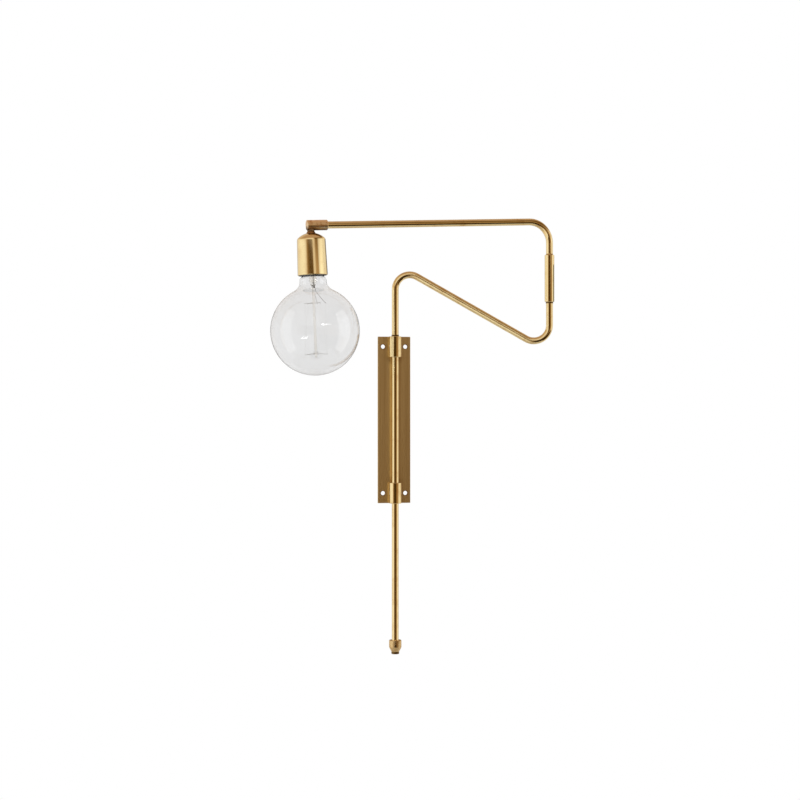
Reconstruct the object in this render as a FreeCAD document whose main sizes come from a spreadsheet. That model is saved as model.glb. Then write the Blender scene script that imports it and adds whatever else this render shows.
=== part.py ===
import FreeCAD, Part
import math
import os
import Sketcher

# A wall lamp with two swinging arms of brass tube, a brass cup and a clear globe bulb.
#
# The wall is the plane y = 0 and the room is on the side of negative y. The origin is the centre
# of the wall plate's back face, z points up and x points to the right, as seen from the room.
# Lengths are in millimetres and angles in degrees.
#
# The rod turns in the two sleeves of the wall plate. The lower arm goes on from the rod over a
# hump, down to the right and up again, and ends in the elbow. The upper arm turns on the elbow
# and goes back to the left, where its end fitting carries the lampholder and the bulb.

SIZES = {
    # Clearances, and how far a cut runs past the solid
    "running_clearance": 0.05,
    "fit_clearance": 0.05,
    "seat_clearance": 0.3,
    "cut_overrun": 1.0,
    # The pose: how far each arm is turned out, and how much the upper arm droops
    "lower_arm_swing_angle": 8.0,
    "elbow_turn_angle": 167.0,
    "upper_arm_droop_angle": 2.5,
    # Wall plate
    "plate_width": 48.0,
    "plate_height": 242.0,
    "plate_thickness": 2.5,
    "plate_corner_radius": 0.8,
    "plate_edge_break": 0.3,
    "wall_hole_spacing_across": 33.0,
    "wall_hole_spacing_up": 213.0,
    "wall_hole_diameter": 6.2,
    # Sleeves on the wall plate, and the bushes in them
    "sleeve_diameter": 18.0,
    "sleeve_length": 30.0,
    "sleeve_wall": 2.0,
    "sleeve_flat_depth": 0.4,
    "sleeve_chamfer": 0.4,
    # Tube of both arms
    "tube_diameter": 10.0,
    "tube_wall": 1.0,
    # Lower arm
    "rod_below_centre": 319.0,
    "hump_height": 210.5,
    "hump_radius": 21.0,
    "lower_arm_fall_angle": 29.4,
    "lower_arm_reach": 225.0,
    "elbow_bend_radius": 23.0,
    # Stop rings soldered on the lower arm
    "stop_ring_diameter": 10.8,
    "stop_ring_height": 2.1,
    "stop_ring_chamfer": 0.3,
    # Cord grip
    "grip_diameter": 18.0,
    "grip_collar_height": 10.0,
    "grip_cone_height": 6.5,
    "grip_cone_curve": 36.0,
    "grip_nose_diameter": 11.4,
    "grip_chamfer": 0.5,
    "grip_thread_depth": 6.0,
    "ferrule_flange_height": 3.6,
    "ferrule_shank_diameter": 9.0,
    "ferrule_shank_length": 6.0,
    "ferrule_rounding": 0.8,
    "cord_bore_diameter": 7.0,
    "grip_screw_diameter": 3.0,
    "grip_screw_length": 4.8,
    "grip_screw_drop": 8.1,
    "grip_screw_sink": 0.4,
    # Elbow
    "elbow_rise": 34.0,
    "elbow_sleeve_diameter": 14.0,
    "elbow_sleeve_length": 68.0,
    "elbow_sleeve_bore": 12.0,
    "elbow_socket_depth": 15.0,
    "elbow_sleeve_chamfer": 0.4,
    "elbow_slit_width": 2.2,
    "elbow_slit_length": 54.0,
    "elbow_slit_angle": 50.0,
    # Upper arm
    "upper_arm_rise": 17.4,
    "upper_bend_radius": 30.0,
    "upper_arm_reach": 355.6,
    # End fitting, its screw and the nipple
    "fitting_diameter": 14.6,
    "fitting_length": 29.5,
    "fitting_overhang": 5.6,
    "fitting_socket_depth": 12.0,
    "fitting_nose_length": 0.7,
    "fitting_nose_diameter": 13.2,
    "fitting_chamfer": 0.5,
    "fitting_bore": 7.0,
    "fitting_screw_diameter": 4.0,
    "fitting_screw_length": 2.2,
    "nipple_bore": 8.0,
    "nipple_socket_rise": 2.0,
    "nipple_start": 4.0,
    "nipple_length": 16.5,
    # Lampholder cup
    "neck_gap": 1.6,
    "cup_height": 60.9,
    "cup_collar_top_diameter": 10.8,
    "cup_collar_diameter": 13.6,
    "cup_collar_height": 2.6,
    "cup_dome_height": 10.4,
    "cup_dome_curve": 26.0,
    "cup_shoulder_diameter": 39.8,
    "cup_rim_diameter": 42.2,
    "cup_wall": 0.9,
    "cup_rim_chamfer": 0.4,
    "cup_seat_diameter": 15.0,
    # Lampholder
    "washer_diameter": 14.0,
    "washer_thickness": 1.0,
    "locknut_flats": 13.0,
    "locknut_height": 3.0,
    "holder_cap_top_diameter": 17.0,
    "holder_cap_diameter": 35.6,
    "holder_cap_dome_height": 7.6,
    "holder_cap_shoulder_height": 6.0,
    "holder_cap_length": 21.6,
    "holder_cap_neck_diameter": 32.8,
    "holder_cap_bore": 30.8,
    "holder_cap_roof": 4.1,
    "skirt_diameter": 36.4,
    "skirt_bore": 33.0,
    "skirt_rim_diameter": 39.2,
    "skirt_rim_height": 2.4,
    "skirt_mouth_chamfer": 0.9,
    "skirt_overhang": 0.8,
    "block_drop": 8.6,
    "block_diameter": 29.0,
    "block_height": 7.0,
    "terminal_offset": 9.0,
    "terminal_head_diameter": 5.0,
    "terminal_head_height": 2.0,
    "terminal_shank_diameter": 3.0,
    "terminal_shank_length": 5.0,
    "contact_sheet": 0.5,
    "contact_strip_width": 4.2,
    "contact_strip_drop": 15.0,
    "contact_rivet_diameter": 3.0,
    "contact_spring_diameter": 9.0,
    "contact_spring_tip_diameter": 4.0,
    "shell_crest_diameter": 26.9,
    "shell_length": 25.5,
    "shell_outer_diameter": 29.2,
    "shell_flange_bore": 12.0,
    "thread_pitch": 3.63,
    "thread_depth": 0.75,
    "thread_curve": 2.5,
    "thread_turn_count": 5,
    # Leads inside the arms and the lampholder
    "lead_diameter": 6.4,
    "lead_start_above_grip": 2.0,
    "lead_turn_radius": 5.0,
    "lead_end": 18.0,
    "core_diameter": 1.6,
    "core_offset": 1.2,
    "core_turn_radius": 3.5,
    # Bulb
    "bulb_length": 173.0,
    "bulb_bottom": 210.2,
    "globe_diameter": 125.0,
    "glass_wall": 0.9,
    "glass_neck_diameter": 38.0,
    "glass_neck_curve": 14.0,
    "glass_flare_diameter": 35.2,
    "glass_flare_start": 73.9,
    "glass_throat_diameter": 31.2,
    "glass_throat_start": 71.5,
    "glass_joint_diameter": 23.2,
    "glass_joint_start": 59.0,
    "bulb_cap_sheet": 0.35,
    "bulb_cap_valley_diameter": 24.4,
    "bulb_cap_shoulder": 1.0,
    "bulb_cap_start": 2.3,
    "bulb_cap_skirt_diameter": 27.8,
    "bulb_cap_skirt_length": 5.6,
    "bulb_cap_opening": 14.0,
    "bulb_contact_diameter": 9.6,
    "bulb_contact_height": 0.7,
    "bulb_insulator_diameter": 18.0,
    "bulb_insulator_depth": 2.0,
    "stem_flare_diameter": 22.0,
    "stem_flare_height": 1.0,
    "stem_flare_offset": 1.5,
    "stem_tube_diameter": 10.0,
    "stem_tube_start": 66.0,
    "stem_press_start": 79.5,
    "stem_press_diameter": 5.8,
    "stem_press_end": 87.0,
    "stem_rod_diameter": 3.6,
    "stem_rod_end": 185.0,
    "hook_wire_diameter": 0.5,
    "top_hook_place": 108.8,
    "top_hook_reach": 13.0,
    "bottom_hook_place": 181.0,
    "bottom_hook_reach": 16.0,
    "bulb_lead_diameter": 0.7,
    "bulb_lead_start": 87.6,
    "bulb_lead_bend": 92.5,
    "bulb_lead_offset": 2.5,
    "bulb_lead_reach": 16.0,
    "filament_diameter": 0.12,
    "filament_clearance": 0.2,
    "filament_fall_count": 5,
}

QUARTER_TURN = 90
HALF_TURN = 180
FULL_TURN = 360


class Size:
    """A length or an angle, with the sheet expression that gives it."""

    def __init__(self, value, text):
        self.value = float(value)
        self.text = text

    def __add__(self, other):
        return Size(self.value + number(other), f"({self.text} + {words(other)})")

    def __radd__(self, other):
        return Size(number(other) + self.value, f"({words(other)} + {self.text})")

    def __sub__(self, other):
        return Size(self.value - number(other), f"({self.text} - {words(other)})")

    def __rsub__(self, other):
        return Size(number(other) - self.value, f"({words(other)} - {self.text})")

    def __mul__(self, other):
        return Size(self.value * number(other), f"({self.text} * {words(other)})")

    def __rmul__(self, other):
        return self * other

    def __truediv__(self, other):
        return Size(self.value / number(other), f"({self.text} / {words(other)})")

    def __neg__(self):
        return Size(-self.value, f"(-{self.text})")


def number(size):
    """The plain number of a size or of a number."""
    return size.value if isinstance(size, Size) else float(size)


def words(size):
    """The expression of a size or of a number."""
    return size.text if isinstance(size, Size) else repr(size)


def sine(angle):
    return Size(math.sin(math.radians(number(angle))), f"sin({words(angle)})")


def cosine(angle):
    return Size(math.cos(math.radians(number(angle))), f"cos({words(angle)})")


def root(size):
    return Size(math.sqrt(number(size)), f"sqrt({words(size)})")


def along(point, direction, distance):
    """The point at a distance from another, in a direction given by its two parts."""
    return (point[0] + direction[0] * distance, point[1] + direction[1] * distance)


def frame(x=0, y=0, z=0, axis=(0, 0, 1), angle=0):
    """The expression of a placement."""
    spot = f"vector({words(x)}; {words(y)}; {words(z)})"
    turn = f"rotation(vector({axis[0]}; {axis[1]}; {axis[2]}); {words(angle)})"
    return f"placement({spot}; {turn})"


doc = FreeCAD.newDocument("WallLamp")
sheet = doc.addObject("Spreadsheet::Sheet", "Sizes")
size = {}
for row, (name, value) in enumerate(SIZES.items(), start=1):
    sheet.set(f"A{row}", name)
    sheet.set(f"B{row}", str(value))
    sheet.setAlias(f"B{row}", name)
    size[name] = Size(value, f"Sizes.{name}")
doc.recompute()

pieces = {}
cuts = []


# Helpers that make the features

def bind(item, name, value):
    """Tie one property of an object to the sheet."""
    item.setExpression(name, words(value))


def origin_plane(body, role):
    return next(item for item in body.Origin.OriginFeatures if item.Role == role)


def new_body(label):
    body = doc.addObject("PartDesign::Body", label)
    body.Label = label
    return body


def new_sketch(body, name, plane, offset=0):
    """An empty sketch on one of the body's own origin planes."""
    sketch = body.newObject("Sketcher::SketchObject", name)
    sketch.AttachmentSupport = (origin_plane(body, plane), [""])
    sketch.MapMode = "FlatFace"
    if isinstance(offset, Size):
        bind(sketch, "AttachmentOffset.Base.z", offset)
    return sketch


def pin_point(sketch, edge, end, point):
    """Fix an edge's end at a point of the sketch, by its distances from the origin."""
    for kind, axis, value in (("DistanceX", -2, point[0]), ("DistanceY", -1, point[1])):
        if isinstance(value, Size):
            rule = Sketcher.Constraint(kind, -1, 1, edge, end, value.value)
            bind(sketch, f"Constraints[{sketch.addConstraint(rule)}]", value)
        else:
            sketch.addConstraint(Sketcher.Constraint("PointOnObject", edge, end, axis))


def arc_between(start, stop, radius):
    """The shorter arc from start to stop: it turns left where the radius is positive."""
    across = (stop - start) / 2
    rise = math.sqrt(radius * radius - across.Length * across.Length)
    left = FreeCAD.Vector(-across.y, across.x, 0).normalize()
    centre = start + across + left * math.copysign(rise, radius)
    first, last = (start, stop) if radius > 0 else (stop, start)
    angles = [math.atan2(end.y - centre.y, end.x - centre.x) for end in (first, last)]
    circle = Part.Circle(centre, FreeCAD.Vector(0, 0, 1), abs(radius))
    return Part.ArcOfCircle(circle, angles[0], angles[1])


def draw(sketch, points, closed=True):
    """Draw an outline. A point's third entry makes an arc of that radius to the next point."""
    spots = [FreeCAD.Vector(number(point[0]), number(point[1]), 0) for point in points]
    count = len(points) if closed else len(points) - 1
    ends = []
    for index in range(count):
        start, stop = spots[index], spots[(index + 1) % len(points)]
        if len(points[index]) == 3:
            radius = points[index][2]
            edge = sketch.addGeometry(arc_between(start, stop, radius.value), False)
            rule = Sketcher.Constraint("Radius", edge, abs(radius.value))
            bind(sketch, f"Constraints[{sketch.addConstraint(rule)}]",
                 radius if radius.value > 0 else -radius)
            ends.append((edge, 1, 2) if radius.value > 0 else (edge, 2, 1))
        else:
            edge = sketch.addGeometry(Part.LineSegment(start, stop), False)
            ends.append((edge, 1, 2))
    for index in range(count if closed else count - 1):
        edge, _, last = ends[index]
        after, first, _ = ends[(index + 1) % count]
        sketch.addConstraint(Sketcher.Constraint("Coincident", edge, last, after, first))
    for index in range(count):
        pin_point(sketch, ends[index][0], ends[index][1], points[index])
    if not closed:
        pin_point(sketch, ends[-1][0], ends[-1][2], points[-1])


def draw_circle(sketch, centre, diameter):
    spot = FreeCAD.Vector(number(centre[0]), number(centre[1]), 0)
    circle = Part.Circle(spot, FreeCAD.Vector(0, 0, 1), diameter.value / 2)
    edge = sketch.addGeometry(circle, False)
    rule = Sketcher.Constraint("Diameter", edge, diameter.value)
    bind(sketch, f"Constraints[{sketch.addConstraint(rule)}]", diameter)
    pin_point(sketch, edge, 3, centre)


def turn(body, points):
    """Turn an outline, given as radii and heights, about the body's z axis."""
    sketch = new_sketch(body, "outline", "XZ_Plane")
    draw(sketch, points)
    feature = body.newObject("PartDesign::Revolution", "turned")
    feature.Profile = (sketch, [""])
    feature.ReferenceAxis = (sketch, ["V_Axis"])
    feature.Angle = FULL_TURN
    return feature


def pad(body, sketch, length, reverse=False):
    feature = body.newObject("PartDesign::Pad", "plate")
    feature.Profile = (sketch, [""])
    feature.Reversed = reverse
    bind(feature, "Length", length)
    return feature


def pocket(body, sketch, length, reverse=False):
    """Cut a sketch out of the body, away from the sketch's own face unless reversed."""
    feature = body.newObject("PartDesign::Pocket", "cut")
    feature.Profile = (sketch, [""])
    feature.Reversed = reverse
    bind(feature, "Length", length)
    cuts.append((body, feature))
    return feature


def pipe(body, path, start, outer, inner=None):
    """Sweep a round bar, or a tube, along a flat path that starts upwards at a height."""
    spine = new_sketch(body, "path", "XZ_Plane")
    draw(spine, path, closed=False)
    section = new_sketch(body, "section", "XY_Plane", start)
    draw_circle(section, (0, 0), outer)
    if inner:
        draw_circle(section, (0, 0), inner)
    feature = body.newObject("PartDesign::AdditivePipe", "swept")
    feature.Profile = (section, [""])
    feature.Spine = (spine, [f"Edge{index + 1}" for index in range(len(path) - 1)])
    return feature


def keep(item, label, place=""):
    """Name a finished piece, put it in its place and list it for the export."""
    item.Label = label
    if place:
        item.setExpression("Placement", place)
    pieces[label] = item
    return item


def turned_piece(label, points, place):
    body = new_body(label)
    turn(body, points)
    return keep(body, label, place)


def cylinder(name, radius, height, place=""):
    item = doc.addObject("Part::Cylinder", name)
    bind(item, "Radius", radius)
    bind(item, "Height", height)
    if place:
        item.setExpression("Placement", place)
    return item


def box(name, length, width, height, place):
    item = doc.addObject("Part::Box", name)
    bind(item, "Length", length)
    bind(item, "Width", width)
    bind(item, "Height", height)
    item.setExpression("Placement", place)
    return item


def group(label, items, place):
    item = doc.addObject("Part::Compound", label)
    item.Links = items
    return keep(item, label, place)


# Sizes that several pieces share

fit = size["fit_clearance"]
run = size["running_clearance"]
gap = size["seat_clearance"]
overrun = size["cut_overrun"]
tube_radius = size["tube_diameter"] / 2
tube_bore = size["tube_diameter"] - size["tube_wall"] * 2
plate_top = size["plate_height"] / 2
stand_off = size["plate_thickness"] + size["sleeve_diameter"] / 2 - size["sleeve_flat_depth"]
upper_straight = size["upper_arm_reach"] - size["upper_bend_radius"]
hump_centre = size["hump_height"] - size["hump_radius"]
both_bends = size["hump_radius"] + size["elbow_bend_radius"]
fall_angle = size["lower_arm_fall_angle"]
slope_rise = (both_bends - sine(fall_angle) * (size["lower_arm_reach"] - both_bends)) / cosine(fall_angle)
elbow_bend_centre = hump_centre + slope_rise
elbow_height = elbow_bend_centre + size["elbow_rise"]
elbow_sleeve_top = elbow_height + size["elbow_sleeve_length"]
elbow_socket_height = elbow_sleeve_top - size["elbow_socket_depth"]
upper_bend_height = elbow_sleeve_top + size["upper_arm_rise"]

# Frames: the rod, the elbow, the drooping end of the upper arm, its fitting and the lampholder.
# The fitting's z axis runs along the arm, and the lampholder's z axis points down.

ROD = frame(y=-stand_off, angle=-size["lower_arm_swing_angle"])
ELBOW = f"{ROD} * {frame(x=size['lower_arm_reach'], angle=-size['elbow_turn_angle'])}"
ARM_END = (f"{ELBOW} * " + frame(x=size["upper_bend_radius"], z=upper_bend_height,
                                 axis=(0, 1, 0), angle=size["upper_arm_droop_angle"]))
FITTING = f"{ARM_END} * {frame(z=size['upper_bend_radius'], axis=(0, 1, 0), angle=QUARTER_TURN)}"
HOLDER = (f"{ARM_END} * " + frame(x=upper_straight, z=size["upper_bend_radius"],
                                  axis=(1, 0, 0), angle=HALF_TURN))


# Wall plate, with four screw holes

def wall_plate():
    body = new_body("wall_plate")
    half_width = size["plate_width"] / 2
    outline = new_sketch(body, "outline", "XZ_Plane")
    draw(outline, [(-half_width, -plate_top), (half_width, -plate_top),
                   (half_width, plate_top), (-half_width, plate_top)])
    plate = pad(body, outline, size["plate_thickness"])
    doc.recompute()
    corners = body.newObject("PartDesign::Fillet", "corners")
    thickness = number(size["plate_thickness"])
    upright = [f"Edge{index}" for index, edge in enumerate(plate.Shape.Edges, start=1)
               if abs(edge.Length - thickness) < thickness / 10]
    corners.Base = (plate, upright)
    bind(corners, "Radius", size["plate_corner_radius"])
    doc.recompute()
    broken = body.newObject("PartDesign::Chamfer", "edge_break")
    front = [f"Edge{index}" for index, edge in enumerate(corners.Shape.Edges, start=1)
             if edge.BoundBox.YMax < -thickness / 2]
    broken.Base = (corners, front)
    bind(broken, "Size", size["plate_edge_break"])
    holes = new_sketch(body, "holes", "XZ_Plane")
    for right in (-1, 1):
        for up in (-1, 1):
            centre = (size["wall_hole_spacing_across"] * (right / 2),
                      size["wall_hole_spacing_up"] * (up / 2))
            draw_circle(holes, centre, size["wall_hole_diameter"])
    pocket(body, holes, size["plate_thickness"] + overrun, reverse=True)
    keep(body, "wall_plate")


# Sleeves flush with the plate's ends, each with a flat where it is brazed on, and their bushes

def wall_sleeve(name, bottom):
    radius = size["sleeve_diameter"] / 2
    bore = radius - size["sleeve_wall"]
    chamfer = size["sleeve_chamfer"]
    length = size["sleeve_length"]
    place = frame(y=-stand_off, z=bottom)
    body = new_body(f"{name}_wall_sleeve")
    turn(body, [(bore, 0), (radius - chamfer, 0), (radius, chamfer),
                (radius, length - chamfer), (radius - chamfer, length), (bore, length)])
    flat = new_sketch(body, "flat", "XY_Plane")
    near = radius - size["sleeve_flat_depth"]
    far = radius + overrun
    draw(flat, [(-radius, near), (radius, near), (radius, far), (-radius, far)])
    pocket(body, flat, length + overrun, reverse=True)
    keep(body, f"{name}_wall_sleeve", place)
    inner = tube_radius + run
    outer = bore - fit
    turned_piece(f"{name}_wall_bush", [(inner, 0), (outer, 0), (outer, length), (inner, length)], place)


# Lower arm: rod, hump, slope, bend and the pin of the elbow, all one tube

def lower_arm_path(bottom, top):
    fall = fall_angle
    hump = size["hump_radius"]
    bend = size["elbow_bend_radius"]
    reach = size["lower_arm_reach"]
    return [(0, bottom),
            (0, hump_centre, -hump),
            (hump + hump * sine(fall), hump_centre + hump * cosine(fall)),
            (reach - bend - bend * sine(fall), elbow_bend_centre - bend * cosine(fall), bend),
            (reach, elbow_bend_centre),
            (reach, top)]


def lower_arm():
    body = new_body("lower_arm_tube")
    bottom = size["grip_thread_depth"] * -1 - size["rod_below_centre"]
    top = elbow_socket_height - gap
    pipe(body, lower_arm_path(bottom, top), bottom, size["tube_diameter"], tube_bore)
    keep(body, "lower_arm_tube", ROD)
    lead = new_body("lower_arm_lead")
    start = size["lead_start_above_grip"] - size["rod_below_centre"]
    pipe(lead, lower_arm_path(start, elbow_socket_height), start, size["lead_diameter"])
    keep(lead, "lower_arm_lead", ROD)


def stop_ring(name, x, bottom):
    inner = tube_radius + fit
    outer = size["stop_ring_diameter"] / 2
    chamfer = size["stop_ring_chamfer"]
    height = size["stop_ring_height"]
    outline = [(inner, 0), (outer - chamfer, 0), (outer, chamfer), (outer, height - chamfer),
               (outer - chamfer, height), (inner, height)]
    turned_piece(name, outline, f"{ROD} * {frame(x=x, z=bottom)}")


# Cord grip on the lower end of the rod: a brass body, a ferrule and a clamping screw

def cord_grip():
    top = -size["rod_below_centre"]
    radius = size["grip_diameter"] / 2
    nose = size["grip_nose_diameter"] / 2
    chamfer = size["grip_chamfer"]
    collar_end = top - size["grip_collar_height"]
    cone_end = collar_end - size["grip_cone_height"]
    thread_end = top - size["grip_thread_depth"]
    bore = size["cord_bore_diameter"] / 2
    shank = size["ferrule_shank_diameter"] / 2
    shank_end = cone_end + size["ferrule_shank_length"]
    socket = tube_radius + fit
    body = new_body("cord_grip_body")
    turn(body, [(socket, top), (socket, thread_end), (bore, thread_end), (bore, shank_end + fit),
                (shank + fit, shank_end + fit), (shank + fit, cone_end),
                (nose, cone_end, size["grip_cone_curve"]), (radius, collar_end),
                (radius, top - chamfer), (radius - chamfer, top)])
    hole = new_sketch(body, "screw_hole", "XZ_Plane")
    screw_height = top - size["grip_screw_drop"]
    draw_circle(hole, (0, screw_height), size["grip_screw_diameter"] + fit * 2)
    pocket(body, hole, radius + overrun, reverse=True)
    keep(body, "cord_grip_body", ROD)
    rounding = size["ferrule_rounding"]
    flange_end = cone_end - size["ferrule_flange_height"]
    turned_piece("cord_grip_ferrule",
                 [(bore, shank_end), (shank, shank_end), (shank, cone_end), (nose, cone_end),
                  (nose, flange_end + rounding, -rounding), (nose - rounding, flange_end),
                  (bore, flange_end)], ROD)
    screw_place = frame(y=size["grip_screw_sink"] - radius, z=screw_height,
                        axis=(1, 0, 0), angle=-QUARTER_TURN)
    screw = cylinder("screw", size["grip_screw_diameter"] / 2, size["grip_screw_length"])
    group("cord_grip_screw", [screw], f"{ROD} * {screw_place}")


# Elbow: a stepped sleeve with a lengthwise slit, soldered to the upper arm, and its bush

def elbow():
    radius = size["elbow_sleeve_diameter"] / 2
    bore = size["elbow_sleeve_bore"] / 2
    socket = tube_radius + fit
    chamfer = size["elbow_sleeve_chamfer"]
    length = size["elbow_sleeve_length"]
    step = length - size["elbow_socket_depth"]
    place = f"{ELBOW} * {frame(z=elbow_height)}"
    body = new_body("elbow_sleeve")
    turn(body, [(bore, 0), (radius - chamfer, 0), (radius, chamfer), (radius, length - chamfer),
                (radius - chamfer, length), (socket, length), (socket, step), (bore, step)])
    slit = new_sketch(body, "slit", "YZ_Plane")
    half = size["elbow_slit_width"] / 2
    draw(slit, [(-half, -overrun), (half, -overrun), (half, size["elbow_slit_length"]),
                (-half, size["elbow_slit_length"])])
    pocket(body, slit, radius + overrun)
    keep(body, "elbow_sleeve", f"{place} * {frame(angle=-size['elbow_slit_angle'])}")
    outer = bore - fit
    inner = tube_radius + run
    bush_length = step - gap
    turned_piece("elbow_bush", [(inner, 0), (outer, 0), (outer, bush_length), (inner, bush_length)], place)


# Upper arm: up from the elbow, round a wide bend and along to the end fitting

def upper_arm():
    droop = size["upper_arm_droop_angle"]
    bend = size["upper_bend_radius"]
    forward = (cosine(droop), -sine(droop))
    down = (-sine(droop), -cosine(droop))
    bend_end = (bend + bend * sine(droop), upper_bend_height + bend * cosine(droop))
    fitting_start = upper_straight + size["fitting_overhang"] - size["fitting_length"]
    tube_length = fitting_start + size["fitting_socket_depth"] - fit
    body = new_body("upper_arm_tube")
    start = elbow_socket_height + fit
    pipe(body, [(0, start), (0, upper_bend_height, -bend), bend_end,
                along(bend_end, forward, tube_length)],
         start, size["tube_diameter"], tube_bore)
    keep(body, "upper_arm_tube", ELBOW)
    lead = new_body("upper_arm_lead")
    turn_radius = size["lead_turn_radius"]
    turn_start = along(bend_end, forward, upper_straight - turn_radius)
    turn_end = along(along(turn_start, forward, turn_radius), down, turn_radius)
    lead_start = elbow_socket_height + gap
    pipe(lead, [(0, lead_start), (0, upper_bend_height, -bend), bend_end,
                (turn_start[0], turn_start[1], -turn_radius), turn_end,
                along(turn_end, down, size["lead_end"] - turn_radius)],
         lead_start, size["lead_diameter"])
    keep(lead, "upper_arm_lead", ELBOW)


# End fitting: a turned block over the end of the arm, with the nipple's socket under it

def end_fitting():
    radius = size["fitting_diameter"] / 2
    nose = size["fitting_nose_diameter"] / 2
    chamfer = size["fitting_chamfer"]
    last = upper_straight + size["fitting_overhang"]
    first = last - size["fitting_length"]
    step = first + size["fitting_socket_depth"]
    socket = tube_radius + fit
    bore = size["fitting_bore"] / 2
    body = new_body("end_fitting")
    turn(body, [(socket, first), (nose, first), (radius, first + size["fitting_nose_length"]),
                (radius, last - chamfer), (radius - chamfer, last), (0, last),
                (0, upper_straight), (bore, upper_straight), (bore, step), (socket, step)])
    nipple_hole = new_sketch(body, "nipple_hole", "YZ_Plane", -size["nipple_socket_rise"])
    draw_circle(nipple_hole, (0, upper_straight), size["tube_diameter"] + fit * 2)
    pocket(body, nipple_hole, size["nipple_socket_rise"] + radius + overrun, reverse=True)
    screw_hole = new_sketch(body, "screw_hole", "XZ_Plane")
    screw_place = first + size["fitting_socket_depth"] / 2
    draw_circle(screw_hole, (0, screw_place), size["fitting_screw_diameter"] + fit * 2)
    pocket(body, screw_hole, radius + overrun, reverse=True)
    keep(body, "end_fitting", FITTING)
    screw = cylinder("screw", size["fitting_screw_diameter"] / 2, size["fitting_screw_length"])
    spot = frame(y=-socket, z=screw_place, axis=(1, 0, 0), angle=QUARTER_TURN)
    group("end_fitting_screw", [screw], f"{FITTING} * {spot}")
    nipple_radius = size["nipple_bore"] / 2
    start = size["nipple_start"]
    end = start + size["nipple_length"]
    turned_piece("holder_nipple", [(nipple_radius, start), (tube_radius, start),
                                   (tube_radius, end), (nipple_radius, end)], HOLDER)


# Lampholder cup of spun brass, hung on the nipple by a washer and a locknut

cup_top = size["fitting_diameter"] / 2 + size["neck_gap"]
cup_end = cup_top + size["cup_height"]
cup_seat = cup_top + size["cup_collar_height"] + size["cup_wall"]
nut_start = cup_seat + size["washer_thickness"]
holder_top = nut_start + size["locknut_height"]


def lampholder_cup():
    hole = tube_radius + fit
    collar_top = size["cup_collar_top_diameter"] / 2
    collar = size["cup_collar_diameter"] / 2
    shoulder = size["cup_shoulder_diameter"] / 2
    rim = size["cup_rim_diameter"] / 2
    wall = size["cup_wall"]
    chamfer = size["cup_rim_chamfer"]
    curve = size["cup_dome_curve"]
    collar_end = cup_top + size["cup_collar_height"]
    dome_end = cup_top + size["cup_dome_height"]
    turned_piece("lampholder_cup",
                 [(hole, cup_top), (collar_top, cup_top), (collar, collar_end, curve),
                  (shoulder, dome_end), (rim, cup_end - chamfer), (rim - chamfer, cup_end),
                  (rim - wall, cup_end),
                  (shoulder - wall, dome_end + wall, -curve), (size["cup_seat_diameter"] / 2, cup_seat),
                  (hole, cup_seat)], HOLDER)
    turned_piece("nipple_washer",
                 [(hole, cup_seat), (size["washer_diameter"] / 2, cup_seat),
                  (size["washer_diameter"] / 2, nut_start), (hole, nut_start)], HOLDER)


def nipple_locknut():
    body = new_body("nipple_locknut")
    corner = size["locknut_flats"] / root(3)
    half_flat = size["locknut_flats"] / 2
    hexagon = new_sketch(body, "hexagon", "XY_Plane")
    draw(hexagon, [(corner, 0), (corner / 2, half_flat), (-corner / 2, half_flat),
                   (-corner, 0), (-corner / 2, -half_flat), (corner / 2, -half_flat)])
    pad(body, hexagon, size["locknut_height"])
    hole = new_sketch(body, "hole", "XY_Plane")
    draw_circle(hole, (0, 0), size["tube_diameter"] + fit * 2)
    pocket(body, hole, size["locknut_height"] + overrun, reverse=True)
    keep(body, "nipple_locknut", f"{HOLDER} * {frame(z=nut_start)}")


# Lampholder: moulded cap and skirt, terminal block, contacts and threaded shell

block_top = holder_top + size["block_drop"]
block_end = block_top + size["block_height"]


def thread(radius, start, curve, back=False):
    """The points of a rolled thread's ridges, each an arc of one pitch, along the axis."""
    turns = SIZES["thread_turn_count"]
    order = range(turns, 0, -1) if back else range(turns)
    return [(radius, start + size["thread_pitch"] * index, curve) for index in order]


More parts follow.
